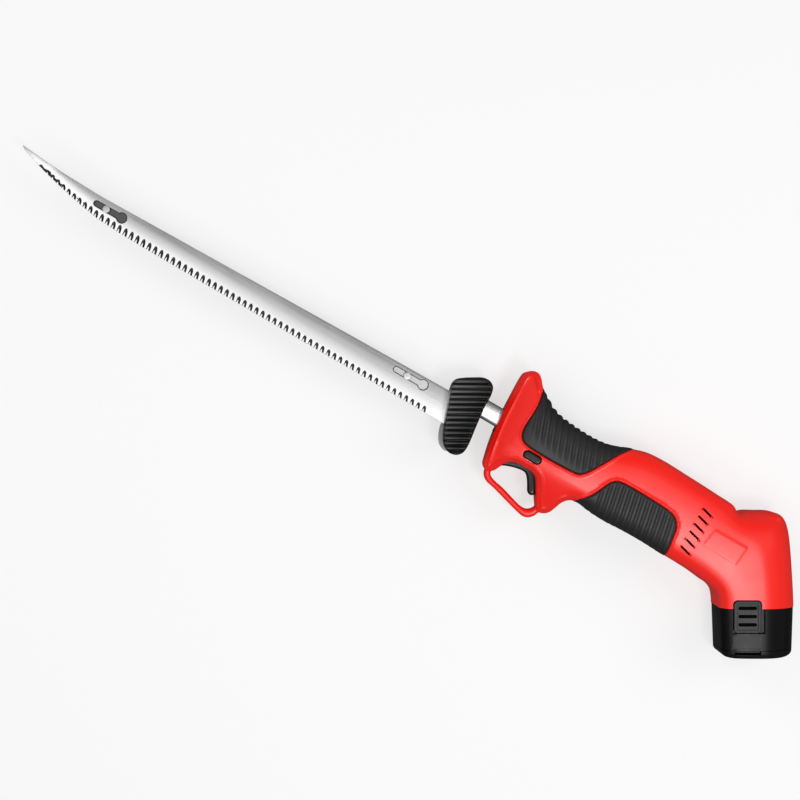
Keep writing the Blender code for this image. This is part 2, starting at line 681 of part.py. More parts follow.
def build_housing():
    outline = body_outline(OUTLINE_TOLERANCE)
    inside = body_outline(INSIDE_TOLERANCE)
    shell = slab("shell", outline, 0.0, SEAM_GAP / 2)
    fuse(shell, plate("guard", curve_through(GUARD_KEYS), SEAM_GAP / 2, GUARD_HALF_WIDTH, GUARD_ROUND, 2))
    labels = grouped("labels", [prism("label", points, 0.005, 0.04) for points in (NOSE_LABEL, REAR_LABEL)])
    cut(labels, slab("label_floor", outline, LABEL_DEPTH, -WALL))
    cut(shell, labels)
    beds = grouped("beds", [
        prism("bed", offset_outline(curve_through(keys), FIT_GAP), -0.001, 0.04)
        for keys in (UPPER_GRIP_KEYS, LOWER_GRIP_KEYS)])
    cut(beds, slab("bed_floor", outline, GRIP_DEPTH + FIT_GAP, -WALL))
    cut(shell, beds)
    cut(shell, slab("cavity", inside, WALL, -WALL))

    core = slab("core", inside, WALL * 0.5, SEAM_GAP / 2)
    motor_room = MOTOR_DIAMETER / 2 + FIT_GAP
    rib_low = MOTOR_AXIS_Y - MOTOR_DIAMETER / 2 + 0.004
    inner = [rod("boss", place, BOSS_DIAMETER / 2, 0, 0.03, 10) for place in SCREWS]
    for x in (MOTOR_FRONT + 0.010, MOTOR_FRONT + MOTOR_LENGTH - 0.008):
        inner.append(block("rib", (x, rib_low, 0), (x + 0.002, 0.04, 0.03)))
    seat = FRAME_INSIDE + FRAME_PLATE + FIT_GAP
    for x, y in ((FRAME_FRONT + 0.004, WHEEL_Y + 0.011), (MOTOR_FRONT - 0.007, WHEEL_Y - 0.004)):
        inner.append(rod("post", (x, y), 0.0025, seat, 0.03, 8))
    block_side = CONTACT_OFFSET + 0.0035 + FIT_GAP
    low = TOWER_HEIGHT + 0.0046
    inner.append(pack_block("post", (-0.003, low, block_side), (0.004, low + 0.004, 0.03)))
    for x in (SWITCH_LOW[0] + 0.004,):
        inner.append(block("post", (x, -0.024, SWITCH_HALF_WIDTH + FIT_GAP), (x + 0.003, -0.019, 0.03)))
    interior = grouped("interior", inner)
    combine(interior, core, "INTERSECT")
    fuse(shell, interior)
    cut(shell, turned("motor_room", ((MOTOR_FRONT - 0.001, motor_room), (MOTOR_FRONT + MOTOR_LENGTH + 0.001,
        motor_room)), 24, Matrix.Translation((0, MOTOR_AXIS_Y, 0)) @ TO_X))

    window = BAR_HEIGHT / 2 + RUN_GAP + GUIDE_WALL + FIT_GAP
    window_side = BAR_SIDE + RUN_GAP + GUIDE_WALL + FIT_GAP
    holes = [block("nose_window", (-0.01, -window, -0.01), (0.012, window, window_side))]
    lock = slot_outline(LOCK_CENTRE, LOCK_LENGTH + 2 * RUN_GAP, LOCK_HEIGHT + 2 * RUN_GAP, 0, 3)
    holes.append(prism("lock_hole", lock, -0.01, 0.03))
    for i in range(VENT_COUNT):
        y = VENT_CENTRE[1] + (i - (VENT_COUNT - 1) / 2) * VENT_PITCH
        slot = slot_outline((VENT_CENTRE[0], y), VENT_LENGTH, VENT_WIDTH, VENT_LEAN, 1)
        holes.append(prism("vent", slot, BODY_HALF_WIDTH - 0.008, 0.03))
    cut(shell, grouped("holes", holes))
    trigger_shape = offset_outline(curve_through(TRIGGER_KEYS), 1.25 * RUN_GAP)
    for step in range(TRIGGER_ROOM_STEPS + 1):
        swung = prism("trigger_room", trigger_shape, -0.01, TRIGGER_HALF_WIDTH + RUN_GAP)
        turn_about(swung, TRIGGER_PIVOT, TRIGGER_TURN * step / TRIGGER_ROOM_STEPS)
        cut(shell, swung)
    pin = rod("pin_room", TRIGGER_PIVOT, PIVOT_PIN_DIAMETER / 2 + FIT_GAP, -0.01, TRIGGER_HALF_WIDTH + 0.003,
              10)
    collar = rod("pin_post", TRIGGER_PIVOT, 0.0028, TRIGGER_HALF_WIDTH + RUN_GAP, 0.03, 10)
    combine(collar, slab("core", inside, WALL * 0.5, SEAM_GAP / 2), "INTERSECT")
    fuse(shell, collar)
    cut(shell, pin)

    below = pack_block("below", (-0.06, -0.06, -0.01), (0.06, FIT_GAP / 2, 0.04))
    cut(shell, below)
    half = LATCH_WIDTH / 2 + RUN_GAP
    notch = pack_block("notch", (LATCH_OFFSET - half, -0.01, 0.012),
                       (LATCH_OFFSET + half, LATCH_TOP + RUN_GAP, 0.04))
    cut(shell, notch)
    return outline, shell


def turn_about(obj, pivot, angle):
    place = Vector((*pivot, 0))
    turn = Matrix.Translation(place) @ Matrix.Rotation(angle, 4, "Z") @ Matrix.Translation(-place)
    obj.data.transform(turn)
    return obj


def housing_halves(shell):
    left, right = both_sides(shell, "housing")
    pilots = [rod("pilot", place, SCREW_DIAMETER / 2 + 0.0001, -0.001, SCREW_BITE + 0.001, 8)
              for place in SCREWS]
    cut(left, grouped("pilots", pilots))
    bores = []
    for x, y in SCREWS:
        seat = -SCREW_SEAT
        bore = SCREW_DIAMETER / 2 + FIT_GAP
        head = SCREW_HEAD / 2 + FIT_GAP
        profile = ((0.001, bore), (seat, bore), (seat, head), (-0.03, head))
        bores.append(turned("bore", profile, 10, Matrix.Translation((x, y, 0))))
    cut(right, grouped("bores", bores))
    for half in (left, right):
        colored(half, RED, 0.35)
    screws = []
    for i, (x, y) in enumerate(SCREWS):
        seat = -SCREW_SEAT - FIT_GAP
        shank = SCREW_DIAMETER / 2
        head = SCREW_HEAD / 2
        profile = ((SCREW_BITE, shank), (seat, shank), (seat, head),
                   (seat - SCREW_HEAD_THICKNESS, head * 0.9))
        screw = turned(f"housing_screw_{i + 1}", profile, 10, Matrix.Translation((x, y, 0)))
        screws.append(colored(screw, STEEL, 0.3, 1.0))
    return [left, right, *screws]


def build_grip(name, outline, keys, ribs, lean, start, end_y):
    """One soft pad: the body's own skin, raised a little and grooved into ribs."""
    pad = prism(name, curve_through(keys), SEAM_GAP / 2, 0.04)
    combine(pad, slab("skin", outline, -GRIP_RISE, SEAM_GAP / 2), "INTERSECT")
    cut(pad, slab("floor", outline, GRIP_DEPTH, -WALL))
    grooves = []
    for i in range(ribs):
        x = start + i * RIB_PITCH
        top = 0.05
        shift = math.tan(lean) * (top - end_y)
        low, high = (x, end_y), (x - shift, top)
        half = RIB_GROOVE / 2
        points = ((low[0] - half, low[1]), (low[0] + half, low[1]), (high[0] + half, high[1]),
                  (high[0] - half, high[1]))
        grooves.append(prism("groove", points, -0.001, 0.04))
    tool = grouped("grooves", grooves)
    cut(tool, slab("groove_floor", outline, GRIP_RISE * 0.4, -WALL))
    cut(pad, tool)
    left, right = both_sides(pad, name)
    return [colored(left, BLACK, 0.6), colored(right, BLACK, 0.6)]


def build_trigger():
    shape = curve_through(TRIGGER_KEYS)
    trigger = prism("trigger", shape, -TRIGGER_HALF_WIDTH, TRIGGER_HALF_WIDTH)
    cut(trigger, rod("bore", TRIGGER_PIVOT, PIVOT_PIN_DIAMETER / 2 + RUN_GAP / 2, -0.01, 0.01, 12))
    x, y = TRIGGER_PIVOT
    cut(trigger, block("spring_room", (x - 0.01, y - 0.0024, -0.0016), (x + 0.0026, y + 0.01, 0.0016)))
    pin = rod("trigger_pin", TRIGGER_PIVOT, PIVOT_PIN_DIAMETER / 2, -TRIGGER_HALF_WIDTH - 0.0024,
              TRIGGER_HALF_WIDTH + 0.0024, 10)
    points = []
    radius = PIVOT_PIN_DIAMETER / 2 + SPRING_WIRE / 2 + 0.00015
    rise = SPRING_WIRE * 1.5
    per_turn = 8
    for i in range(SPRING_TURNS * per_turn + 1):
        angle = 2 * math.pi * i / per_turn
        z = rise * (i / per_turn - SPRING_TURNS / 2)
        points.append((x + radius * math.cos(angle), y + radius * math.sin(angle), z))
    least = rise - SPRING_WIRE
    print(f"trigger spring: least gap between turns {least * 1000:.2f} mm")
    spring = wire("trigger_spring", points, SPRING_WIRE, 1)
    return [colored(trigger, BLACK, 0.4), colored(pin, STEEL, 0.3, 1.0), colored(spring, STEEL, 0.3, 1.0)]


def wire(name, points, diameter, resolution=1):
    """A round wire along the points, as a mesh."""
    curve = bpy.data.curves.new(name, "CURVE")
    curve.dimensions = "3D"
    curve.bevel_depth = diameter / 2
    curve.bevel_resolution = resolution
    curve.use_fill_caps = True
    line = curve.splines.new("POLY")
    line.points.add(len(points) - 1)
    for spot, point in zip(line.points, points):
        spot.co = (*point, 1)
    guide = bpy.data.objects.new(name, curve)
    bpy.context.scene.collection.objects.link(guide)
    bpy.context.view_layer.update()
    mesh = bpy.data.meshes.new_from_object(guide.evaluated_get(bpy.context.evaluated_depsgraph_get()))
    bpy.data.objects.remove(guide)
    bm = bmesh.new()
    bm.from_mesh(mesh)
    bmesh.ops.remove_doubles(bm, verts=bm.verts, dist=1e-7)
    bpy.data.meshes.remove(mesh)
    return add_object(name, bm)


def build_lock():
    shape = slot_outline(LOCK_CENTRE, LOCK_LENGTH, LOCK_HEIGHT, 0, 3)
    reach = half_width_at(*LOCK_CENTRE) - LOCK_RECESS
    lock = prism("lock_button", shape, -reach + LOCK_TRAVEL * 0.2, reach)
    return [colored(lock, DARK, 0.5)]


def build_switch():
    body = block("switch_body", (*SWITCH_LOW, -SWITCH_HALF_WIDTH), (*SWITCH_HIGH, SWITCH_HALF_WIDTH))
    place = Matrix.Translation((0, PLUNGER_Y, 0)) @ TO_X
    hole = PLUNGER_DIAMETER / 2 + RUN_GAP / 2
    depth = SWITCH_LOW[0] + PLUNGER_TRAVEL + 0.003
    cut(body, turned("hole", ((SWITCH_LOW[0] - 0.001, hole), (depth, hole)), 10, place))
    front = PLUNGER_TIP_X
    radius = PLUNGER_DIAMETER / 2
    plunger = turned("switch_plunger", ((front, radius), (depth - PLUNGER_TRAVEL - 0.0003, radius)), 10,
                     place)
    return [colored(body, DARK, 0.5), colored(plunger, RED, 0.5)]


def build_motor():
    place = Matrix.Translation((0, MOTOR_AXIS_Y, 0)) @ TO_X
    radius = MOTOR_DIAMETER / 2
    back = MOTOR_FRONT + MOTOR_LENGTH
    inner = radius - MOTOR_WALL
    sides = 24
    shaft = SHAFT_DIAMETER / 2
    can = turned("motor_can", ((MOTOR_FRONT, radius - 0.001), (MOTOR_FRONT + 0.001, radius), (back, radius)),
                 sides, place)
    fuse(can, turned("boss", ((MOTOR_FRONT - 0.0017, 0.004), (MOTOR_FRONT + 0.001, 0.004)), 16, place))
    cut(can, turned("room", ((MOTOR_FRONT + MOTOR_WALL, inner), (back + 0.001, inner)), sides, place))
    cut(can, turned("bore", ((MOTOR_FRONT - 0.01, 0.0030), (MOTOR_FRONT + 0.003, 0.0030)), 12, place))
    bush = turned("motor_front_bush", ((MOTOR_FRONT - 0.0016, 0.00285), (MOTOR_FRONT + 0.0025, 0.00285)), 12,
                  place)
    cut(bush, turned("bore", ((MOTOR_FRONT - 0.01, shaft + 0.0001), (MOTOR_FRONT + 0.01, shaft + 0.0001)), 12,
                     place))
    cap = turned("motor_end_cap", (
        (back - 0.0016, inner - FIT_GAP), (back + FIT_GAP, inner - FIT_GAP), (back + FIT_GAP, radius),
        (back + CAP_LENGTH, radius - 0.001)), sides, place)
    cut(cap, turned("bore", ((back - 0.01, shaft + 0.0001), (back + 0.0025, shaft + 0.0001)), 12, place))
    for side in (1, -1):
        y = MOTOR_AXIS_Y + side * 0.0085
        fuse(cap, block("tab", (back + 0.002, y - 0.0003, -0.0012),
                        (back + CAP_LENGTH + 0.003, y + 0.0003, 0.0012)))
    middle = (MOTOR_FRONT + back) / 2
    core = ARMATURE_DIAMETER / 2
    armature = turned("motor_armature", (
        (middle - ARMATURE_LENGTH / 2 - 0.003, core * 0.7), (middle - ARMATURE_LENGTH / 2, core * 0.8),
        (middle - ARMATURE_LENGTH / 2 + 0.0005, core), (middle + ARMATURE_LENGTH / 2, core),
        (middle + ARMATURE_LENGTH / 2 + 0.0005, core * 0.8),
        (middle + ARMATURE_LENGTH / 2 + 0.0035, core * 0.5)), 18,
        place)
    cut(armature, turned("bore", ((middle - 0.03, shaft + 0.00005), (middle + 0.03, shaft + 0.00005)), 12,
                         place))
    magnets = []
    outer = inner - FIT_GAP
    for side, name in ((0, "motor_magnet_upper"), (math.pi, "motor_magnet_lower")):
        arc = [side + math.radians(25 + 130 * i / 8) for i in range(9)]
        points = [(outer * math.cos(a), outer * math.sin(a)) for a in arc]
        points += [((outer - MAGNET_THICKNESS) * math.cos(a), (outer - MAGNET_THICKNESS) * math.sin(a))
                   for a in reversed(arc)]
        flip = Matrix.Rotation(math.radians(90), 4, "Z")
        reach = ARMATURE_LENGTH / 2
        magnets.append(prism(name, points, middle - reach, middle + reach, place @ flip))
    return [
        colored(can, STEEL, 0.35, 1.0), colored(bush, BRASS, 0.4, 1.0), colored(cap, BLACK, 0.5),
        colored(armature, COPPER, 0.4, 0.8), colored(magnets[0], DARK, 0.6), colored(magnets[1], DARK, 0.6)]


def build_worm():
    """The motor's shaft with a right-hand two-start thread, in one piece."""
    place = Matrix.Translation((0, MOTOR_AXIS_Y, 0)) @ TO_X
    pitch = math.pi * GEAR_MODULE
    lead = pitch * WORM_STARTS
    tip = WORM_RADIUS + GEAR_MODULE - GEAR_CLEARANCE
    root = WORM_RADIUS - GEAR_MODULE
    width = pitch * TOOTH_SHARE
    flank = math.tan(math.radians(20)) * (tip - root)
    profile = []
    for start in range(WORM_STARTS):
        middle = start * pitch
        profile += [(middle - width / 2 - flank / 2, root), (middle - width / 2 + flank / 2, tip),
                    (middle + width / 2 - flank / 2, tip), (middle + width / 2 + flank / 2, root)]
    per_turn = 12
    centre = WHEEL_X
    turns = math.ceil(WORM_LENGTH / lead) + 3
    first = centre - lead * turns / 2
    phase = 2 * math.pi * (turns / 2) - math.pi / 2
    bm = bmesh.new()
    rows = []
    for i in range(turns * per_turn + 1):
        angle = 2 * math.pi * i / per_turn - phase
        row = []
        for along, radius in profile:
            x = first + lead * i / per_turn + along
            row.append(bm.verts.new((x, MOTOR_AXIS_Y + radius * math.sin(angle + math.pi),
                                     radius * -math.cos(angle + math.pi))))
        rows.append(row)
    count = len(profile)
    for i in range(len(rows) - 1):
        for j in range(count):
            ahead = i + per_turn if j == count - 1 else i
            if ahead + 1 >= len(rows):
                continue
            k = (j + 1) % count
            bm.faces.new((rows[i][j], rows[i + 1][j], rows[ahead + 1][k], rows[ahead][k]))
    bmesh.ops.holes_fill(bm, edges=[edge for edge in bm.edges if edge.is_boundary], sides=0)
    worm = add_object("worm_shaft", bm)
    low, high = centre - WORM_LENGTH / 2, centre + WORM_LENGTH / 2
    combine(worm, turned("span", ((low, 0.01), (high, 0.01)), 12, place), "INTERSECT")
    shaft = SHAFT_DIAMETER / 2
    fuse(worm, turned("shaft", ((low + 0.001, shaft), (MOTOR_FRONT + MOTOR_LENGTH + 0.0015, shaft)), 12,
                      place))
    return [colored(worm, STEEL, 0.3, 1.0)]


def build_wheel():
    """The worm wheel with a crank pin on each face, half a turn apart."""
    pitch_angle = 2 * math.pi / WHEEL_TEETH
    lead_angle = math.atan(WORM_STARTS * math.pi * GEAR_MODULE / (2 * math.pi * WORM_RADIUS))
    root = WHEEL_RADIUS - GEAR_MODULE - GEAR_CLEARANCE
    tip = WHEEL_TIP - GEAR_CLEARANCE
    rings = []
    for z in (-WHEEL_WIDTH / 2, WHEEL_WIDTH / 2):
        twist = z * math.tan(lead_angle) / WHEEL_RADIUS
        ring = []
        for tooth in range(WHEEL_TEETH):
            middle = math.pi / 2 + (tooth + 0.5) * pitch_angle + twist
            for radius, share in ((root, -0.28), (tip, -0.11), (tip, 0.11), (root, 0.28)):
                angle = middle + share * pitch_angle
                ring.append((radius * math.cos(angle), radius * math.sin(angle), z))
        rings.append(ring)
    wheel = loft("crank_wheel", rings, Matrix.Translation((WHEEL_X, WHEEL_Y, 0)))
    radius = CRANK_PIN_DIAMETER / 2
    outer = WHEEL_WIDTH / 2 + CRANK_REACH
    fuse(wheel, rod("pin", (WHEEL_X, WHEEL_Y + CRANK_RADIUS), radius, 0, outer, 12))
    fuse(wheel, rod("pin", (WHEEL_X, WHEEL_Y - CRANK_RADIUS), radius, -outer, 0, 12))
    cut(wheel, rod("bore", (WHEEL_X, WHEEL_Y), AXLE_DIAMETER / 2 + 0.0001, -0.01, 0.01, 12))
    return [colored(wheel, NYLON, 0.5)]


def build_frame():
    """The U-shaped gear frame with its bushes and the wheel's axle."""
    outer = FRAME_INSIDE + FRAME_PLATE
    bottom, top = WHEEL_Y - 0.0090, MOTOR_AXIS_Y + 0.0090
    back = MOTOR_FRONT - 0.0002
    frame = block("gear_frame", (FRAME_FRONT, bottom, -outer), (back, top, outer))
    cut(frame, block("room", (FRAME_FRONT - 0.001, bottom - 0.001, -FRAME_INSIDE),
                     (back - 0.0024, top + 0.001, FRAME_INSIDE)))
    cut(frame, block("relief", (FRAME_FRONT - 0.001, MOTOR_AXIS_Y + FRAME_LOW_TOP, -0.03),
                     (FRAME_LOW_END, top + 0.001, 0.03)))
    place = Matrix.Translation((0, MOTOR_AXIS_Y, 0)) @ TO_X
    cut(frame, turned("bore", ((back - 0.01, 0.0043), (back + 0.01, 0.0043)), 16, place))
    cut(frame, rod("bush_bore", (WHEEL_X, WHEEL_Y), BUSH_DIAMETER / 2 + 0.0001, -0.03, 0.03, 16))
    axle_radius = AXLE_DIAMETER / 2
    axle = rod("wheel_axle", (WHEEL_X, WHEEL_Y), axle_radius, -outer - 0.001, outer + 0.001, 12)
    bush = rod("axle_bush", (WHEEL_X, WHEEL_Y), BUSH_DIAMETER / 2, FRAME_INSIDE, outer, 16)
    cut(bush, rod("bore", (WHEEL_X, WHEEL_Y), axle_radius + 0.0001, 0, 0.03, 12))
    left, right = both_sides(bush, "axle_bush")
    return [colored(frame, STEEL, 0.5, 1.0), colored(axle, STEEL, 0.25, 1.0), colored(left, BRASS, 0.4, 1.0),
            colored(right, BRASS, 0.4, 1.0)]


def build_bars():
    half = BAR_HEIGHT / 2
    end = WHEEL_X - WHEEL_TIP - STROKE_HALF - 0.0008
    bar = block("bar", (BAR_FRONT, -half, BAR_GAP), (end, half, BAR_SIDE))
    cut(bar, block("tang_room", (BAR_FRONT - 0.001, -half - 0.001, 0), (TANG_END_X + 0.0035, half + 0.001,
                                                                        TANG_ROOM)))
    low, high = WHEEL_Y - YOKE_HEIGHT / 2, WHEEL_Y + YOKE_HEIGHT / 2
    yoke = block("yoke", (end - 0.006, low, YOKE_INSIDE), (WHEEL_X + YOKE_LENGTH / 2, high,
                                                            YOKE_INSIDE + YOKE_THICKNESS))
    fuse(bar, yoke)
    pin = CRANK_PIN_DIAMETER / 2
    width = pin + CRANK_PLAY
    height = CRANK_RADIUS + pin + RUN_GAP
    thin = AXLE_DIAMETER / 2 + RUN_GAP
    reach = AXLE_DIAMETER / 2 + STROKE_HALF + RUN_GAP
    cut(bar, block("pin_slot", (WHEEL_X - width, WHEEL_Y - height, 0),
                   (WHEEL_X + width, WHEEL_Y + height, 0.02)))
    cut(bar, block("axle_slot", (WHEEL_X - reach, WHEEL_Y - thin, 0),
                   (WHEEL_X + reach, WHEEL_Y + thin, 0.02)))
    left, right = both_sides(bar, "drive_bar")
    return [colored(left, STEEL, 0.2, 1.0), colored(right, STEEL, 0.2, 1.0)]


def build_guide():
    half = BAR_HEIGHT / 2 + RUN_GAP
    side = BAR_SIDE + RUN_GAP
    guide = block("nose_guide", (GUIDE_FRONT, -half - GUIDE_WALL, -side - GUIDE_WALL),
                  (GUIDE_FRONT + GUIDE_LENGTH, half + GUIDE_WALL, side + GUIDE_WALL))
    rise = GUIDE_WALL + SHOULDER_RISE
    start = GUIDE_FRONT + SHOULDER_SETBACK
    fuse(guide, block("shoulder", (start, -half - rise, -side - GUIDE_WALL + 0.001),
                      (start + SHOULDER_LENGTH, half + rise, side + GUIDE_WALL - 0.001)))
    cut(guide, block("way", (-0.01, -half, -side), (0.03, half, side)))
    return [colored(guide, DARK, 0.5)]


SPINE_KEYS = ((-0.3385, -0.0012), (-0.3300, -0.0020), (-0.3200, -0.0029), (-0.3050, -0.0038),
              (-0.2800, -0.0045), (-0.2500, -0.0040), (-0.2000, -0.0032), (-0.1000, -0.0017),
              (-0.0400, -0.0010))
EDGE_KEYS = ((-0.3180, -0.0089), (-0.3080, -0.0113), (-0.2980, -0.0137), (-0.2880, -0.0157),
             (-0.2750, -0.0177), (-0.2600, -0.0186), (-0.2400, -0.0190), (-0.2000, -0.0194),
             (-0.1500, -0.0197), (-0.0400, -0.0202))
DEPTH_KEYS = ((-0.3180, 0.0022), (-0.3000, 0.0026), (-0.2750, 0.0036), (-0.2500, 0.0043), (-0.1500, 0.0035),
              (-0.0400, 0.0031))


def along(keys, x):
    """The height at x on a line of keys."""
    for (x0, y0), (x1, y1) in zip(keys, keys[1:]):
        if x <= x1:
            return y0 + (y1 - y0) * (x - x0) / (x1 - x0)
    return keys[-1][1]


def blade_outline():
    """The blade counter-clockwise as (x, y, how far the grind carries the point up on the outer face)."""
    heel = along(EDGE_KEYS, TOOTH_START_X) - 0.0003
    points = [(x, y, 0) for x, y in SPINE_KEYS[::-1]]
    points += [(-0.3370, -0.0026, 0.0006), (-0.3350, -0.0035, 0.0012), (-0.3300, -0.0050, 0.0020)]
    points += [(-0.3250, -0.0067, 0.0026), (-0.3215, -0.0072, 0.0026)]
    teeth = int((TOOTH_START_X - TOOTH_END_X) / TOOTH_PITCH)
    for i in range(teeth, -1, -1):
        x = TOOTH_START_X - i * TOOTH_PITCH
        low = along(EDGE_KEYS, x)
        depth = along(DEPTH_KEYS, x)
        grind = GRIND_HEIGHT - 0.0012 * (x < -0.29)
        points += [(x - 0.0035, low + depth, grind - depth), (x - 0.0014, low, grind), (x, low, grind)]
    points += [(TOOTH_START_X + 0.0006, heel + 0.0008, 0), (-0.0260, heel, 0), (-0.0240, -0.0165, 0)]
    points += [(TANG_END_X, -0.0145, 0), (TANG_END_X, -0.0010, 0)]
    return points


def build_blades():
    outline = blade_outline()
    low, high = BLADE_GAP, BLADE_GAP + BLADE_THICKNESS
    rings = [[(x, y, low) for x, y, _ in outline], [(x, y + max(grind, 0), high) for x, y, grind in outline]]
    blade = loft("blade", rings)
    left, right = both_sides(blade, "blade")
    front = []
    holes = []
    for x, y, back, forth in (FRONT_SLOT, REAR_SLOT):
        start, end = x + back, x + forth
        slot = slot_outline(((start + end) / 2, y), end - start + SLOT_WIDTH / 2, SLOT_WIDTH, 0, 3)
        front.append(prism("slot", slot, -0.001, 0.003))
        holes.append(rod("keyhole", (end, y), KEYHOLE_DIAMETER / 2, -0.001, 0.003, 12))
    cut(left, grouped("slots", front))
    cut(left, grouped("keyholes", holes))
    bores = [rod("bore", place[:2], RIVET_DIAMETER / 2 + 0.0001, -0.003, 0.001, 10) for place in (FRONT_SLOT,
                                                                                                 REAR_SLOT)]
    cut(right, grouped("bores", bores))
    rivets = []
    for name, (x, y, _, _) in (("front_rivet", FRONT_SLOT), ("rear_rivet", REAR_SLOT)):
        shank, head = RIVET_DIAMETER / 2, RIVET_HEAD / 2
        seat = high + 0.00015
        profile = ((-high, shank), (seat, shank), (seat, head), (seat + RIVET_HEAD_THICKNESS, head * 0.75))
        rivets.append(turned(name, profile, 10, Matrix.Translation((x, y, 0))))
    return [colored(left, STEEL, 0.25, 1.0), colored(right, STEEL, 0.25, 1.0),
            *[colored(rivet, STEEL, 0.2, 1.0) for rivet in rivets]]


def build_collars():
    outline = curve_through(COLLAR_KEYS, 2, 0.0002)
    collar = plate("collar", outline, TANG_ROOM, COLLAR_THICKNESS, COLLAR_ROUND, 2)
    pocket = BAR_HEIGHT / 2 + FIT_GAP
    cut(collar, block("bar_pocket", (BAR_FRONT - FIT_GAP, -pocket, 0), (0.01, pocket, BAR_SIDE + FIT_GAP)))
    cut(collar, block("catch_pocket", (BAR_FRONT + 0.004, -CATCH_WIDTH / 2 - FIT_GAP, 0),
                      (0.01, CATCH_WIDTH / 2 + FIT_GAP, BAR_SIDE + FIT_GAP + 0.0016)))
    lean = math.radians(30)
    grooves = []
    floor = COLLAR_THICKNESS - COLLAR_GROOVE_DEPTH
    for i in range(COLLAR_GROOVES):
        y = -0.0305 + i * COLLAR_GROOVE_PITCH * 1.16
        x = -0.0145 - 0.42 * (y + 0.0305) + 0.002
        reach = 0.0072 + 0.0045 * i / COLLAR_GROOVES
        slot = slot_outline((x, y), 2 * reach, COLLAR_GROOVE, lean, 1)
        grooves.append(prism("groove", slot, floor, 0.03))
    cut(collar, grouped("grooves", grooves))
    left, right = both_sides(collar, "collar")
    z = BAR_SIDE + FIT_GAP
    start, end = BAR_FRONT + 0.0045, -0.0125
    middle = (start + end) / 2
    t = CATCH_THICKNESS
    bend = ((start, z + 0.0008), (middle, z + 0.0001), (end, z + 0.0008))
    profile = [(x, h) for x, h in bend] + [(x, h + t) for x, h in reversed(bend)]
    side = Matrix(((1, 0, 0, 0), (0, 0, 1, 0), (0, 1, 0, 0), (0, 0, 0, 1)))
    catch = prism("blade_catch", profile, -CATCH_WIDTH / 2, CATCH_WIDTH / 2, side)
    catches = both_sides(catch, "blade_catch")
    return [colored(left, BLACK, 0.5), colored(right, BLACK, 0.5),
            *[colored(c, STEEL, 0.3, 1.0) for c in catches]]


def build_pack():
    top = -FIT_GAP / 2
    floor = -PACK_HEIGHT + PACK_BASE_HEIGHT
    share = PACK_FOOT_SHARE + (PACK_TOP_SHARE - PACK_FOOT_SHARE) * PACK_BASE_HEIGHT / PACK_HEIGHT
    shell = pack_loft("battery_shell",
                      [(floor, pack_section(0, share)), (top, pack_section(0, PACK_TOP_SHARE))])
    fuse(shell, pack_loft("tower", [(-0.004, tower_section()), (TOWER_HEIGHT, tower_section())]))
    room = tower_section(-TOWER_WALL + 0.00015)
    cut(shell, pack_loft("room", [(floor - 0.001, room), (TOWER_HEIGHT + 0.001, room)]))
    half = LATCH_WIDTH / 2
    for side in (1, -1):
        z = sorted((side * (BODY_HALF_WIDTH - LATCH_THICKNESS - LATCH_TRAVEL - FIT_GAP), side * 0.03))
        cut(shell, pack_block("latch_room", (LATCH_OFFSET - half - RUN_GAP, LATCH_BOTTOM - RUN_GAP, z[0]),
                              (LATCH_OFFSET + half + RUN_GAP, 0.001, z[1])))
        z = sorted((side * (BODY_HALF_WIDTH - LABEL_DEPTH), side * 0.03))
        cut(shell, pack_block("panel", (LATCH_OFFSET - half - 0.0012, -0.0262, z[0]),
                              (LATCH_OFFSET + half + 0.0012, -0.0160, z[1])))
    inset = PACK_BASE_ROUND
    base = pack_loft("battery_base", [
        (-PACK_HEIGHT, pack_section(inset, PACK_FOOT_SHARE)),
        (-PACK_HEIGHT + inset * 0.4, pack_section(inset * 0.3, PACK_FOOT_SHARE)),
        (-PACK_HEIGHT + inset, pack_section(0, PACK_FOOT_SHARE)), (floor - FIT_GAP, pack_section(0, share))])
    head_room = [(t * 0.97, z * 0.97) for t, z in tower_section()]
    head = pack_loft("battery_head", [(TOWER_HEIGHT + FIT_GAP, head_room),
                                      (TOWER_HEIGHT + FIT_GAP + HEAD_THICKNESS, head_room)])
    pieces = [colored(shell, BLACK, 0.4), colored(base, BLACK, 0.4), colored(head, DARK, 0.5)]
    places = ((PAIR_OFFSET, CELL_SPACING / 2), (PAIR_OFFSET, -CELL_SPACING / 2), (rear_cell_offset(), 0))
    for i, (t, z) in enumerate(places):
        upright = PACK_FRAME @ Matrix.Translation((t, 0, z)) @ Matrix.Rotation(math.radians(-90), 4, "X")
        profile = ((CELL_FLOOR, CELL_DIAMETER / 2), (TOWER_HEIGHT - CELL_RECESS, CELL_DIAMETER / 2))
        cell = turned(f"battery_cell_{i + 1}", profile, 16, upright)
        pieces.append(colored(cell, BLUE, 0.4))
    return pieces


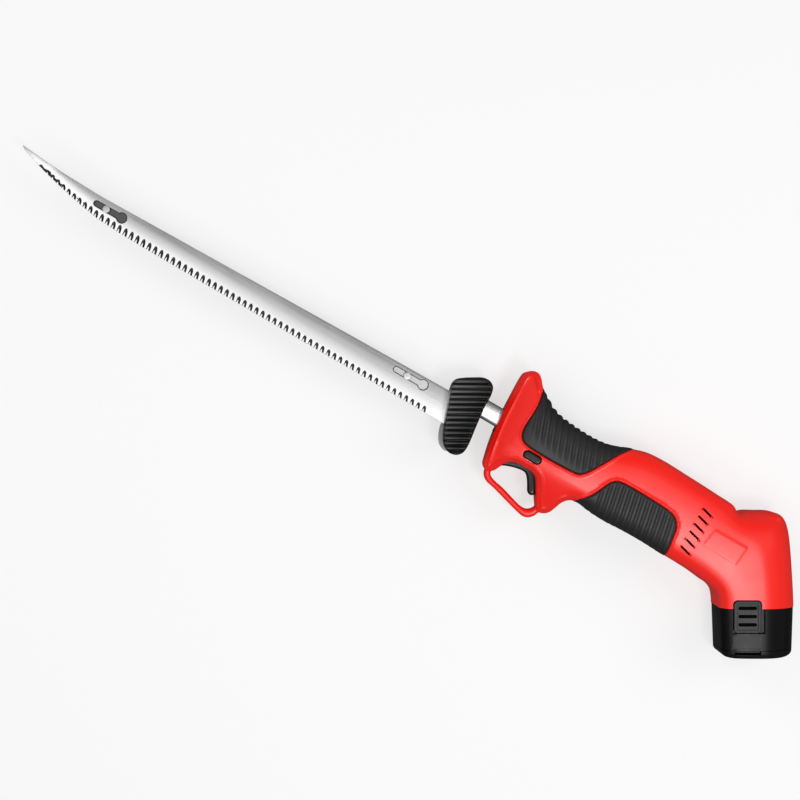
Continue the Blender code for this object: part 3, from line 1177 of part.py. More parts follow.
def build_latches():
    half = LATCH_WIDTH / 2
    high = BODY_HALF_WIDTH
    low = high - LATCH_THICKNESS
    button = pack_block("latch_button", (LATCH_OFFSET - half, LATCH_BOTTOM, low),
                        (LATCH_OFFSET + half, LATCH_TOP,
                                                                                  high))
    grooves = []
    for i in range(LATCH_GROOVES):
        s = LATCH_TOP - 0.0045 - i * 0.0050
        grooves.append(pack_block("groove",
                                  (LATCH_OFFSET - half + 0.002, s - LATCH_GROOVE / 2, high - 0.0008),
                                  (LATCH_OFFSET + half - 0.0022, s + LATCH_GROOVE / 2, high + 0.001)))
    cut(button, grouped("grooves", grooves))
    left, right = both_sides(button, "latch_button")
    start, end = LATCH_TOP - 0.0030, LATCH_BOTTOM + 0.0030
    near = low - 0.0001
    far = low - LATCH_TRAVEL - FIT_GAP + 0.0001
    bend = ((start, near - LATCH_SPRING), ((start + end) / 2, far), (end, near - LATCH_SPRING))
    profile = [(s, z) for s, z in bend] + [(s, z + LATCH_SPRING) for s, z in reversed(bend)]
    upright = PACK_FRAME @ Matrix.Translation((LATCH_OFFSET, 0, 0)) @ Matrix(
        ((0, 0, 1, 0), (1, 0, 0, 0), (0, 1, 0, 0), (0, 0, 0, 1)))
    springs = both_sides(prism("latch_spring", profile, -0.0035, 0.0035, upright), "latch_spring")
    return [colored(left, BLACK, 0.45), colored(right, BLACK, 0.45),
            *[colored(s, STEEL, 0.3, 1.0) for s in springs]]


def build_contacts():
    low = TOWER_HEIGHT + FIT_GAP * 2 + HEAD_THICKNESS + 0.001
    half = CONTACT_OFFSET + 0.0035
    holder = pack_block("contact_block", (-0.0085, low, -half), (0.0085, low + CONTACT_HEIGHT, half))
    return [colored(holder, DARK, 0.5)]


def build_leads():
    """The three leads inside: contacts to switch, contacts to motor and switch to motor."""
    start = pack_point(-0.0088, TOWER_HEIGHT + 0.0065)
    back = MOTOR_FRONT + MOTOR_LENGTH + CAP_LENGTH + 0.0043
    runs = {
        "lead_feed": [(*start, 0.004), (0.1500, 0.0060, 0.0075), (0.1380, -0.0070, 0.0095),
                      (0.1250, -0.0135, 0.0095), (0.1000, -0.0162, 0.0095), (0.0750, -0.0162, 0.0070),
                      (SWITCH_HIGH[0] + 0.0012, -0.0172, 0.003)],
        "lead_motor": [(*start, -0.004), (0.1520, 0.0085, -0.0040),
                       (back + 0.006, MOTOR_AXIS_Y + 0.0080, -0.002), (back, MOTOR_AXIS_Y + 0.0085, 0)],
        "lead_switched": [(back, MOTOR_AXIS_Y - 0.0085, 0), (0.1340, -0.0045, -0.0045),
                          (0.1250, -0.0125, -0.0095), (0.1000, -0.0162, -0.0095), (0.0750, -0.0162, -0.0070),
                          (SWITCH_HIGH[0] + 0.0012, -0.0172, -0.003)],
    }
    colors = {"lead_feed": RED, "lead_motor": BLACK, "lead_switched": BLUE}
    return [colored(wire(name, points, LEAD_DIAMETER, 1), colors[name], 0.5) for name, points in runs.items()]


def empty(name, place, parent=None):
    holder = bpy.data.objects.new(name, None)
    holder.empty_display_size = 0.01
    bpy.context.scene.collection.objects.link(holder)
    holder.parent = parent
    holder["place"] = tuple(place)
    origin = parent["place"] if parent else (0, 0, 0)
    holder.location = Vector(place) - Vector(origin)
    return holder


def carry(holder, pieces):
    """Puts the pieces on the holder, with their origins on its axis."""
    origin = Vector(holder["place"])
    for piece in pieces:
        piece.data.transform(Matrix.Translation(-origin))
        piece.parent = holder


def lay_down(root, pieces):
    """Moves the root so that the tool's box stands on the ground, centred over the origin."""
    low = [min((Vector(p.parent["place"]) + v.co)[k] for p in pieces for v in p.data.vertices)
           for k in range(3)]
    high = [max((Vector(p.parent["place"]) + v.co)[k] for p in pieces for v in p.data.vertices)
            for k in range(3)]
    root.location = (-(low[0] + high[0]) / 2, -(low[1] + high[1]) / 2, -low[2])
    print("root moved by", [round(value * 1000, 3) for value in root.location], "mm")


def main():
    clear_scene()
    root = empty("tool", (0, 0, 0))
    outline, shell = build_housing()
    fixed = housing_halves(shell)
    fixed += build_grip("upper_grip", outline, UPPER_GRIP_KEYS, UPPER_RIBS, UPPER_RIB_LEAN, 0.0345, -0.0030)
    fixed += build_grip("lower_grip", outline, LOWER_GRIP_KEYS, LOWER_RIBS, LOWER_RIB_LEAN, 0.0835, -0.0400)
    trigger, trigger_pin, trigger_spring = build_trigger()
    switch_body, switch_plunger = build_switch()
    can, bush, cap, armature, *magnets = build_motor()
    worm = build_worm()
    wheel = build_wheel()
    bar_left, bar_right = build_bars()
    blade_left, blade_right, *rivets = build_blades()
    collar_left, collar_right, catch_left, catch_right = build_collars()
    pack = build_pack()
    latch_left, latch_right, *springs = build_latches()
    lock = build_lock()
    fixed += [trigger_pin, trigger_spring, switch_body, can, bush, cap, *magnets, *build_frame(),
              *build_guide()]
    fixed += [*build_contacts(), *build_leads()]
    carry(root, fixed)
    carry(empty("motor_axis", (MOTOR_FRONT, MOTOR_AXIS_Y, 0), root), [armature, *worm])
    carry(empty("wheel_axis", (WHEEL_X, WHEEL_Y, 0), root), wheel)
    carry(empty("left_drive", (0, 0, 0), root), [bar_left])
    carry(empty("right_drive", (0, 0, 0), root), [bar_right])
    carry(empty("left_blade_socket", (0, 0, 0), root), [blade_left, collar_left, catch_left])
    carry(empty("right_blade_socket", (0, 0, 0), root), [blade_right, collar_right, catch_right, *rivets])
    carry(empty("trigger_pivot", (*TRIGGER_PIVOT, 0), root), [trigger])
    carry(empty("plunger_axis", (SWITCH_LOW[0], PLUNGER_Y, 0), root), [switch_plunger])
    carry(empty("lock_axis", (*LOCK_CENTRE, 0), root), lock)
    pack_holder = empty("pack_axis", (*PACK_CENTRE, 0), root)
    carry(pack_holder, [*pack, *springs])
    carry(empty("left_latch", (*pack_point(LATCH_OFFSET, 0), BODY_HALF_WIDTH), pack_holder), [latch_left])
    carry(empty("right_latch", (*pack_point(LATCH_OFFSET, 0), -BODY_HALF_WIDTH), pack_holder), [latch_right])
    pieces = [obj for obj in bpy.data.objects if obj.type == "MESH"]
    lay_down(root, pieces)


main()
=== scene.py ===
# %% [markdown]
# A cordless electric fillet knife, dressed for its picture. The frame brings every solid of the knife at
# its real size and place. This script gives the ones that show a finer skin: moulded shells with soft
# crowned sides, ribbed grips, ground blades with their teeth, and a battery with its catches. Lengths are
# in metres. The first cells set up the tools that all pieces share, and each later step dresses one part of
# the knife.

import math
from functools import partial

import bmesh
import bpy
import numpy as np
from mathutils import Matrix, Vector, geometry, kdtree


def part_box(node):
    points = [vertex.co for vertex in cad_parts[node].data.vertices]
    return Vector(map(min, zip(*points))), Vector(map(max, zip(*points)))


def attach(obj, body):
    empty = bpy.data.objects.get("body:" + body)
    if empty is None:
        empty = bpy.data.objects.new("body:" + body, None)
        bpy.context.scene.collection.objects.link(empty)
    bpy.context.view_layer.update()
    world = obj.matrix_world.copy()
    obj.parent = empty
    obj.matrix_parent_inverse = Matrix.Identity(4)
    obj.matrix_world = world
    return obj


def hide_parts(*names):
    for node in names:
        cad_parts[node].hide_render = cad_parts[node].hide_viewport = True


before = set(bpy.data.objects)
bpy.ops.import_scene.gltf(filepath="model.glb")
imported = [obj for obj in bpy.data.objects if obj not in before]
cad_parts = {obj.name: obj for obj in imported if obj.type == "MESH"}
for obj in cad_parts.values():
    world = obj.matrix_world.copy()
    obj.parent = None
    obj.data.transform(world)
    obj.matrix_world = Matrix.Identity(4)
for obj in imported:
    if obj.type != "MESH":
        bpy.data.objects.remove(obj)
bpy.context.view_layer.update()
MM = 0.001
print("nodes in the frame:", len(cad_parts))

# %% [markdown]
# The shapes are easiest to draw in the tool's own frame: the blades run along -x at y = 0, the top of the
# tool is +y, and z is the distance to the left of the seam between the shells. The frame's wheel axle is at
# a known place of that drawing, so it tells how far the drawing has to be moved to meet the solids.

# %% From the tool's drawing to the frame
AXLE_PLACE = Vector((62.0, -5.5, 0.0)) * MM
axle_low, axle_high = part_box("wheel_axle")
TO_FRAME = (axle_low + axle_high) / 2 - AXLE_PLACE
print("the drawing is moved by", [round(v * 1000, 3) for v in TO_FRAME], "mm")

# %% [markdown]
# A few small tools serve every later cell. They put a new object into the scene, and they make a node, give
# it its settings and feed its inputs, each from a value or from another node's socket.

# %% Objects and nodes


def new_object(name, data):
    obj = bpy.data.objects.new(name, data)
    bpy.context.scene.collection.objects.link(obj)
    return obj


def from_bmesh(name, bm):
    mesh = bpy.data.meshes.new(name)
    bm.to_mesh(mesh)
    bm.free()
    return new_object(name, mesh)


def feed(tree, node, inputs):
    """Gives each input its value, or a link from the socket that drives it."""
    for label, value in inputs.items():
        if isinstance(value, bpy.types.NodeSocket):
            tree.links.new(value, node.inputs[label])
        else:
            node.inputs[label].default_value = value


def add_node(tree, kind, inputs=(), output=0, **settings):
    """Makes a node and gives back the output that is asked for."""
    node = tree.nodes.new(kind)
    for label, value in settings.items():
        setattr(node, label, value)
    feed(tree, node, dict(inputs))
    return node.outputs[output]


def maths(tree, operation, *values):
    return add_node(tree, "ShaderNodeMath", dict(enumerate(values)), operation=operation)


def ranged(tree, value, start, end, low=0.0, high=1.0, kind="LINEAR"):
    """Maps start..end to low..high; each of them is a number or a socket."""
    inputs = {"Value": value, "From Min": start, "From Max": end, "To Min": low, "To Max": high}
    return add_node(tree, "ShaderNodeMapRange", inputs, interpolation_type=kind)


def object_place(tree):
    return add_node(tree, "ShaderNodeTexCoord", output="Object")


def new_tree(name, kind, inputs, outputs):
    """A node group, its sockets given as label and kind, with what comes in and the node at its end."""
    tree = bpy.data.node_groups.new(name, kind)
    for in_out, sockets in (("INPUT", inputs), ("OUTPUT", outputs)):
        for label, socket in sockets.items():
            tree.interface.new_socket(label, in_out=in_out, socket_type="NodeSocket" + socket)
    return tree, tree.nodes.new("NodeGroupInput").outputs, tree.nodes.new("NodeGroupOutput")


print("scene:", bpy.context.scene.name)

# %% [markdown]
# The camera comes first, because it decides what the finishes have to show. The photograph was taken from
# about a metre above the knife, which lies on its right side, and the picture is turned 30 degrees to the
# blade.

# %% The camera
PICTURE_POINTS = 800
POINT_SIZE = 0.62 * MM
AXIS_POINT = (497.0, 416.5)
CAMERA_TURN = math.radians(30)
CAMERA_DISTANCE = 1.03
SENSOR_WIDTH = 36.0
CLIP_END = 20.0


def make_camera():
    """Looks straight down on the seam's plane, so that one picture point there is one point size."""
    right = Vector((math.cos(CAMERA_TURN), math.sin(CAMERA_TURN), 0))
    up = Vector((-math.sin(CAMERA_TURN), math.cos(CAMERA_TURN), 0))
    middle = PICTURE_POINTS / 2
    aside = (middle - AXIS_POINT[0]) * POINT_SIZE
    above = (AXIS_POINT[1] - middle) * POINT_SIZE
    data = bpy.data.cameras.new("camera")
    data.sensor_width = SENSOR_WIDTH
    data.lens = SENSOR_WIDTH * CAMERA_DISTANCE / (PICTURE_POINTS * POINT_SIZE)
    data.clip_end = CLIP_END
    camera = new_object("camera", data)
    camera.location = TO_FRAME + right * aside + up * above + Vector((0, 0, CAMERA_DISTANCE))
    camera.rotation_euler = (0, 0, CAMERA_TURN)
    bpy.context.scene.camera = camera
    return camera


camera = make_camera()
print("lens", round(camera.data.lens, 1), "mm")

# %% [markdown]
# The studio is a white floor under an even sky, with a few large soft lamps. The camera sees the floor
# almost white, and a third of its real shading stays, which keeps a faint shadow under the knife. A mirror-
# like surface sees a darker floor and sky, as if black flags stood round the set, so that only two of the
# lamps shine in it.

# %% Floor, world and lamps
FLOOR_SIZE = 8.0
FLOOR_GAP = 0.2 * MM
PAPER_WHITE = (0.86, 0.86, 0.86, 1)
PAPER_ROUGHNESS = 0.9
SHADOW_SHARE = 0.35
LAMPS = (
    ("long_softbox", (-0.15, -0.48, 1.20), (-0.15, 0.00), (1.70, 0.80), 6.0, True),
    ("neck_softbox", (0.44, -0.12, 1.20), (0.20, 0.00), (0.25, 0.25), 4.1, True),
    ("side_softbox", (-0.95, 0.25, 0.75), (0.05, 0.00), (0.60, 0.90), 3.8, False),
    ("back_softbox", (0.75, 0.60, 0.95), (0.05, 0.00), (0.60, 0.80), 5.0, False),
)
SKY_LIGHT = 0.23
SKY_MIRRORED = 0.27
FLOOR_MIRRORED = 0.07


def chosen(tree, ray, usual, special):
    """One of two shaders, by the kind of ray that meets them."""
    share = add_node(tree, "ShaderNodeLightPath", output=ray)
    return add_node(tree, "ShaderNodeMixShader", {0: share, 1: usual, 2: special})


def glow(tree, strength, kind="ShaderNodeEmission"):
    return add_node(tree, kind, {"Color": (1, 1, 1, 1), "Strength": strength})


def make_floor():
    bm = bmesh.new()
    bmesh.ops.create_grid(bm, x_segments=8, y_segments=8, size=FLOOR_SIZE / 2)
    bmesh.ops.translate(bm, vec=(0, 0, -FLOOR_GAP), verts=bm.verts)
    floor = from_bmesh("floor", bm)
    paper = bpy.data.materials.new("white_paper")
    paper.use_nodes = True
    tree = paper.node_tree
    shader = tree.nodes["Principled BSDF"]
    feed(tree, shader, {"Base Color": PAPER_WHITE, "Roughness": PAPER_ROUGHNESS})
    lit = shader.outputs[0]
    white = add_node(tree, "ShaderNodeMixShader", {0: SHADOW_SHARE, 1: glow(tree, 1.0), 2: lit})
    seen = chosen(tree, "Is Camera Ray", lit, white)
    seen = chosen(tree, "Is Glossy Ray", seen, glow(tree, FLOOR_MIRRORED))
    feed(tree, tree.nodes["Material Output"], {0: seen})
    floor.data.materials.append(paper)


def make_world():
    world = bpy.data.worlds.new("studio")
    world.use_nodes = True
    air = world.node_tree
    strengths = (SKY_LIGHT, SKY_MIRRORED, 1.0)
    usual, mirrored, seen = [glow(air, strength, "ShaderNodeBackground") for strength in strengths]
    sky = chosen(air, "Is Camera Ray", chosen(air, "Is Glossy Ray", usual, mirrored), seen)
    feed(air, air.nodes["World Output"], {0: sky})
    bpy.context.scene.world = world


def make_lamps():
    for name, place, aim, size, power, mirrored in LAMPS:
        light = bpy.data.lights.new(name, "AREA")
        light.shape = "RECTANGLE"
        light.size, light.size_y = size
        light.energy = power
        lamp = new_object(name, light)
        lamp.location = place
        lamp.visible_glossy = mirrored
        lamp.rotation_euler = (Vector(place) - Vector((*aim, 0))).to_track_quat("Z", "Y").to_euler()


make_floor()
make_world()
make_lamps()
bpy.context.scene.view_settings.view_transform = "Standard"
print("lamps:", [name for name, *_ in LAMPS])

# %% [markdown]
# Finishes share a few effects. Each effect is a small node group with named inputs: the fine grain that a
# spark-eroded mould leaves on plastic, the uneven gloss that hands leave, and the long scratches of brushed
# steel. The groups put out colours, roughness and heights only, and each material keeps its own shader.

# %% Shared effects as node groups
NOISE_RANGE = (0.3, 0.7)
ROUGHNESS_ENDS = {"Roughness low": "Float", "Roughness high": "Float"}
TEXTURE_OUTPUTS = {"Height": "Float", "Roughness": "Float"}
SMUDGE_SCALE = 42.0
CLOUD_SCALE = 18.0
PIGMENT_SHADE = (0.35, 0.33, 0.33, 1)
BRUSH_LINES = (40.0, 2400.0, 2400.0)
BRUSH_BANDS = (14.0, 420.0, 420.0)


def noise(tree, vector, scale, detail=3.0, roughness=0.5):
    inputs = {"Vector": vector, "Scale": scale, "Detail": detail, "Roughness": roughness}
    return add_node(tree, "ShaderNodeTexNoise", inputs, "Fac")


def make_grain_group():
    inputs = {"Vector": "Vector", "Grain scale": "Float", **ROUGHNESS_ENDS}
    group, given, end = new_tree("Mould grain", "ShaderNodeTree", inputs, TEXTURE_OUTPUTS)
    fine = noise(group, given["Vector"], given["Grain scale"], 2.0)
    smudge = noise(group, given["Vector"], SMUDGE_SCALE, 4.0, 0.6)
    rough = ranged(group, smudge, *NOISE_RANGE, given["Roughness low"], given["Roughness high"])
    feed(group, end, {"Height": fine, "Roughness": rough})
    return group


def make_tint_group():
    inputs = {"Vector": "Vector", "Colour": "Color", "Amount": "Float"}
    group, given, end = new_tree("Pigment drift", "ShaderNodeTree", inputs, {"Colour": "Color"})
    shade = ranged(group, noise(group, given["Vector"], CLOUD_SCALE), *NOISE_RANGE, 1.0, 0.0)
    amount = maths(group, "MULTIPLY", shade, given["Amount"])
    colours = {"Factor": amount, "A": given["Colour"], "B": PIGMENT_SHADE}
    darker = add_node(group, "ShaderNodeMix", colours, "Result", data_type="RGBA", blend_type="MULTIPLY")
    feed(group, end, {"Colour": darker})
    return group


def make_brush_group():
    inputs = {"Vector": "Vector", **ROUGHNESS_ENDS}
    group, given, end = new_tree("Brushed lines", "ShaderNodeTree", inputs, TEXTURE_OUTPUTS)
    scratches = []
    for scale, roughness in ((BRUSH_LINES, 0.7), (BRUSH_BANDS, 0.6)):
        along = add_node(group, "ShaderNodeMapping", {"Vector": given["Vector"], "Scale": scale})
        scratches.append(noise(group, along, 1.0, 3.0, roughness))
    rough = ranged(group, scratches[1], *NOISE_RANGE, given["Roughness low"], given["Roughness high"])
    feed(group, end, {"Height": scratches[0], "Roughness": rough})
    return group


GRAIN = make_grain_group()
TINT = make_tint_group()
BRUSH = make_brush_group()
print("node groups:", [g.name for g in (GRAIN, TINT, BRUSH)])

# %% [markdown]
# A finish is a Principled shader fed by those groups. Plastic takes the grain and the pigment drift, steel
# takes the brushed lines. Values that are the same all over, such as the coat, are set on the shader
# itself.

# %% Finishes
GROOVE_SHADE_LIMITS = (0.12, 0.36)
GROOVE_SHADE_BLACK = 0.002


def rgba(colour):
    """A colour with its alpha; a single number is a grey."""
    return (*colour, 1) if isinstance(colour, tuple) else (colour, colour, colour, 1)


def finish(name, group, colour, rough, relief, drift, more, fixed):
    material = bpy.data.materials.new(name)
    material.use_nodes = True
    tree = material.node_tree
    place = object_place(tree)
    tint = {"Vector": place, "Colour": rgba(colour), "Amount": drift}
    texture = {"Vector": place, "Roughness low": rough[0], "Roughness high": rough[1], **more}
    height = add_node(tree, "ShaderNodeGroup", texture, "Height", node_tree=group)
    normal = add_node(tree, "ShaderNodeBump", {"Strength": 1.0, "Distance": relief * MM, "Height": height})
    feed(tree, tree.nodes["Principled BSDF"], {
        "Base Color": add_node(tree, "ShaderNodeGroup", tint, "Colour", node_tree=TINT),
        "Roughness": height.node.outputs["Roughness"],
        "Normal": normal,
        **{label.replace("_", " "): value for label, value in fixed.items()},
    })
    return material


def plastic(name, colour, rough, relief=0.04, drift=0.10, grain=2600.0, **fixed):
    return finish(name, GRAIN, colour, rough, relief, drift, {"Grain scale": grain}, fixed)


def steel(name, colour, rough, relief=0.004, drift=0.05):
    return finish(name, BRUSH, colour, rough, relief, drift, {}, {"Metallic": 1.0})


RED_SHELL = plastic("red_shell", (0.91, 0.009, 0.003), (0.31, 0.37), 0.005, 0.05, 1800.0,
                    Coat_Weight=0.10, Coat_Roughness=0.3)
RUBBER = plastic("soft_rubber", (0.016, 0.016, 0.017), (0.42, 0.54), 0.015, 0.25, 2200.0)
PANEL_GREY = plastic("panel_grey", 0.014, (0.45, 0.55), 0.012, 0.2)
BLACK_CASE = plastic("black_case", 0.003, (0.28, 0.38), 0.010, 0.2, Specular_IOR_Level=0.2)
BLACK_GLOSS = plastic("black_gloss", 0.003, (0.22, 0.30), 0.005, 0.2, Specular_IOR_Level=0.35)
GREY_CATCH = plastic("grey_catch", (0.030, 0.031, 0.031), (0.34, 0.45), 0.012, 0.2, Specular_IOR_Level=0.2)
COLLAR_BLACK_AND_PAINTED_LIGHT = plastic("collar_black", 0.003, (0.28, 0.36), 0.008, 0.2, Specular_IOR_Level=0.35)
COLLAR_TAB = plastic("collar_tab", 0.40, (0.34, 0.45), 0.012, 0.2)
SLOT_SHADE = plastic("slot_black", 0.001, (0.6, 0.7), 0.008, 0.2, Specular_IOR_Level=0.03)
BLADE_STEEL = steel("blade_steel", 0.68, (0.18, 0.25), 0.002)
SHADE_STEEL = steel("dull_steel", 0.05, (0.40, 0.5), 0.002)
INNER_STEEL_AND_SHADE = steel("inner_steel", 0.14, (0.36, 0.46), 0.002)
RIVET_STEEL = steel("rivet_steel", 0.75, (0.50, 0.6), 0.001)
BRIGHT_STEEL = steel("bright_steel", 0.64, (0.22, 0.30), 0.002)
PLAIN_STEEL = steel("plain_steel", (0.50, 0.51, 0.52), (0.35, 0.5))


def blended(material, share, light):
    """Blends a grey into the material's own colour."""
    tree = material.node_tree
    shader = tree.nodes["Principled BSDF"]
    own = shader.inputs["Base Color"].links[0].from_socket
    colours = {"Factor": share, "A": own, "B": rgba(light)}
    feed(tree, shader, {"Base Color": add_node(tree, "ShaderNodeMix", colours, "Result", data_type="RGBA")})


def lighter_behind(material, start, end, light):
    """Paints light and shade along x: the finish turns from its own colour to the light one."""
    tree = material.node_tree
    x = add_node(tree, "ShaderNodeSeparateXYZ", {0: object_place(tree)}, "X")
    blended(material, ranged(tree, x, start + TO_FRAME.x, end + TO_FRAME.x), light)


def rib_phase(tree, place, across, start, pitch):
    """0 in the middle of a rib and 0.5 in the groove beside it."""
    along = add_node(tree, "ShaderNodeVectorMath", {0: place, 1: across}, "Value", operation="DOT_PRODUCT")
    phase = maths(tree, "FRACT", maths(tree, "DIVIDE", maths(tree, "SUBTRACT", along, start), pitch))
    return maths(tree, "ABSOLUTE", maths(tree, "SUBTRACT", phase, 0.5))


def banded(material, across, start, pitch):
    """Paints shade into the grooves of a ribbed side, by the same rule that cuts them."""
    tree = material.node_tree
    phase = rib_phase(tree, object_place(tree), across, start + TO_FRAME.dot(Vector(across)), pitch)
    blended(material, ranged(tree, phase, *GROOVE_SHADE_LIMITS, kind="SMOOTHSTEP"), GROOVE_SHADE_BLACK)


# Painted shade: the right blade's inner face is a little duller steel, painted darker towards the point,
# where the front keyhole looks into shade.
lighter_behind(INNER_STEEL_AND_SHADE, -220 * MM, -90 * MM, 0.55)
# Painted reflection: the collar's black turns grey towards its front, as if its steep side mirrored the white
# floor.
lighter_behind(COLLAR_BLACK_AND_PAINTED_LIGHT, -13 * MM, -35 * MM, 0.12)
print("finishes so far:", len(bpy.data.materials))

# %% [markdown]
# Helpers for meshes. A smooth closed line through a few key points is the base of every outline here: it is
# a centripetal Catmull-Rom curve, which passes through its keys without loops, and a further value of a
# key, such as the radius of the edge there, is carried along.

# %% Smooth lines through keys


def closed_curve(keys, spacing):
    """Points at most the spacing apart on a smooth closed line through the keys, as an array."""
    keys = np.array(keys, float)
    count = len(keys)
    points = []
    for i in range(count):
        p = [keys[(i + k - 1) % count] for k in range(4)]
        t = [0.0]
        for a, b in zip(p, p[1:]):
            t.append(t[-1] + max(np.linalg.norm((b - a)[:2]), 1e-9) ** 0.5)
        steps = max(2, math.ceil(np.linalg.norm((p[2] - p[1])[:2]) / spacing))
        for k in range(steps):
            u = t[1] + (t[2] - t[1]) * k / steps
            low = [(p[n] * (t[n + 1] - u) + p[n + 1] * (u - t[n])) / (t[n + 1] - t[n]) for n in range(3)]
            mid = [(low[n] * (t[n + 2] - u) + low[n + 1] * (u - t[n])) / (t[n + 2] - t[n]) for n in range(2)]
            points.append((mid[0] * (t[2] - u) + mid[1] * (u - t[1])) / (t[2] - t[1]))
    points = np.array(points)
    x, y = points[:, 0], points[:, 1]
    area = np.sum(x * np.roll(y, -1) - np.roll(x, -1) * y)
    return points if area > 0 else points[::-1]


def evenly(points, spacing):
    """The same closed line with its points an equal distance apart."""
    loop = np.vstack([points, points[:1]])
    steps = np.linalg.norm(np.diff(loop[:, :2], axis=0), axis=1)
    length = np.concatenate([[0], np.cumsum(steps)])
    count = max(8, round(length[-1] / spacing))
    wanted = np.arange(count) * length[-1] / count
    return np.column_stack([np.interp(wanted, length, loop[:, k]) for k in range(loop.shape[1])])


def inward_normals(points):
    along = np.roll(points[:, :2], -1, axis=0) - np.roll(points[:, :2], 1, axis=0)
    along /= np.maximum(np.linalg.norm(along, axis=1), 1e-12)[:, None]
    return np.column_stack([-along[:, 1], along[:, 0]])

# %% [markdown]
# An outline object answers one question fast: how far is a point from this line, and on which side. A tree
# of closely spaced samples does that. The rounded edges, beads, beds and ribs are all heights above that
# distance.

# %% Outlines that know distances
SAMPLE_SPACING = 0.12 * MM
CLEAR_SHARE = 0.97
ROW_CLEAR_SHARE = 0.96


def search_tree(points):
    tree = kdtree.KDTree(len(points))
    for i, (x, y) in enumerate(points):
        tree.insert((x, y, 0), i)
    tree.balance()
    return tree


class Outline:
    def __init__(self, keys, smooth=True):
        line = closed_curve(keys, SAMPLE_SPACING) if smooth else np.array(keys, float)
        if line.shape[1] < 3:
            line = np.column_stack([line, np.zeros(len(line))])
        self.line = evenly(line, SAMPLE_SPACING)
        self.inward = inward_normals(self.line)
        self.tree = search_tree(self.line[:, :2])

    def distance(self, points):
        """For each point its distance, positive inside, and the value carried by the nearest place."""
        near = np.array([self.tree.find((x, y, 0))[1] for x, y in points[:, :2]])
        gap = points[:, :2] - self.line[near, :2]
        side = np.sign(np.sum(gap * self.inward[near], axis=1))
        return np.linalg.norm(gap, axis=1) * np.where(side == 0, 1, side), self.line[near, 2]

    def loop(self, spacing, inset=0.0):
        """Points along the line moved in by the inset, without those that would cross another stretch."""
        step = max(1, round(spacing / SAMPLE_SPACING))
        count = len(self.line) // step
        picked = (np.arange(count) * len(self.line) / count).astype(int)
        moved = self.line[picked, :2] + self.inward[picked] * inset
        if inset:
            moved = moved[np.abs(self.distance(moved)[0]) > CLEAR_SHARE * abs(inset) - 1e-6]
        return moved


print("sample spacing", SAMPLE_SPACING)

# %% [markdown]
# The tiler fills an outline with a mesh: rows of points follow the outline and its details, the rest is
# filled with evenly spread points, and a constrained Delaunay triangulation joins them. Small, even
# triangles shade smoothly, also after a Boolean has cut them.

# %% The tiler
LEAST_ROW = 0.01 * MM
GRID_RIM = 0.4
GRID_ROOM = 0.62


def thin_near(points, others, least):
    """The points that keep the least distance from the others."""
    tree = search_tree(others)
    keep = [tree.find((x, y, 0))[2] > least for x, y in points]
    return points[np.array(keep, bool)]


def hex_points(low, high, spacing):
    grid = []
    for k, y in enumerate(np.arange(low[1], high[1], spacing * math.sqrt(3) / 2)):
        xs = np.arange(low[0] + (k % 2) * spacing / 2, high[0], spacing)
        grid.append(np.column_stack([xs, np.full(len(xs), y)]))
    return np.vstack(grid)


def tiled(boundary, rows, spacing):
    """Triangles that fill the boundary, through the rows' points and an even grid."""
    order = np.arange(len(boundary))
    edges = np.column_stack([order, np.roll(order, -1)])
    chords = Outline(boundary, smooth=False)
    fixed = np.vstack([boundary, rows[chords.distance(rows)[0] > LEAST_ROW]])
    grid = hex_points(boundary.min(0), boundary.max(0), spacing)
    grid = grid[chords.distance(grid)[0] > GRID_RIM * spacing]
    every = np.vstack([fixed, thin_near(grid, fixed, GRID_ROOM * spacing)])
    found = geometry.delaunay_2d_cdt([Vector(p) for p in every.tolist()], edges.tolist(), [], 1, 1e-8)
    return np.array([tuple(v) for v in found[0]]), np.array([f for f in found[2] if len(f) == 3])


def shaded(mesh, sharp=35):
    """Smooth, apart from edges sharper than that many degrees."""
    mesh.shade_smooth()
    mesh.set_sharp_from_angle(angle=math.radians(sharp))


def add_piece(name, vertices, faces):
    mesh = bpy.data.meshes.new(name)
    mesh.from_pydata([tuple(v) for v in vertices], [], [tuple(f) for f in faces])
    bm = bmesh.new()
    bm.from_mesh(mesh)
    bmesh.ops.recalc_face_normals(bm, faces=bm.faces)
    bm.to_mesh(mesh)
    bm.free()
    shaded(mesh)
    return new_object(name, mesh)


def closed_field(name, boundary, flat, faces, heights, wall_rows, base):
    """A solid under a tiled height field: its top, side walls down to the base, and a flat underside."""
    tree = search_tree(flat)
    rim = [tree.find((x, y, 0))[1] for x, y in boundary]
    rim = [i for k, i in enumerate(rim) if i != rim[k - 1]]
    size = len(rim)
    inward = inward_normals(flat[rim])
    vertices = [np.column_stack([flat, heights])]
    walls = []
    upper = rim
    for share, inset in wall_rows:
        start = len(flat) + len(walls)
        lower = list(range(start, start + size))
        z = base + (heights[rim] - base) * share
        vertices.append(np.column_stack([flat[rim] + inward * inset, z]))
        for k in range(size):
            n = (k + 1) % size
            walls.append((upper[k], lower[k], lower[n], upper[n]))
        upper = lower
    return add_piece(name, np.vstack(vertices), [*faces.tolist(), *walls, upper[::-1]])


print("grid starts at", GRID_RIM, "of its spacing")

# %% [markdown]
# Booleans join and cut these solids. The manifold solver needs closed meshes and is quick, also on tens of
# thousands of faces. Mirrored halves are turned right side out again at once.

# %% Cutting and mirroring
SOLVER = "MANIFOLD"


def applied(obj):
    graph = bpy.context.evaluated_depsgraph_get()
    mesh = bpy.data.meshes.new_from_object(obj.evaluated_get(graph))
    obj.modifiers.clear()
    obj.data = mesh
    return obj


def combined(operation, obj, tool):
    modifier = obj.modifiers.new(operation, "BOOLEAN")
    modifier.operation = operation
    modifier.solver = SOLVER
    modifier.object = tool
    applied(obj)
    if not len(obj.data.polygons):
        raise RuntimeError(f"{operation} left nothing of {obj.name}")
    bpy.data.objects.remove(tool)
    return obj


cut = partial(combined, "DIFFERENCE")
joined = partial(combined, "UNION")
shared = partial(combined, "INTERSECT")


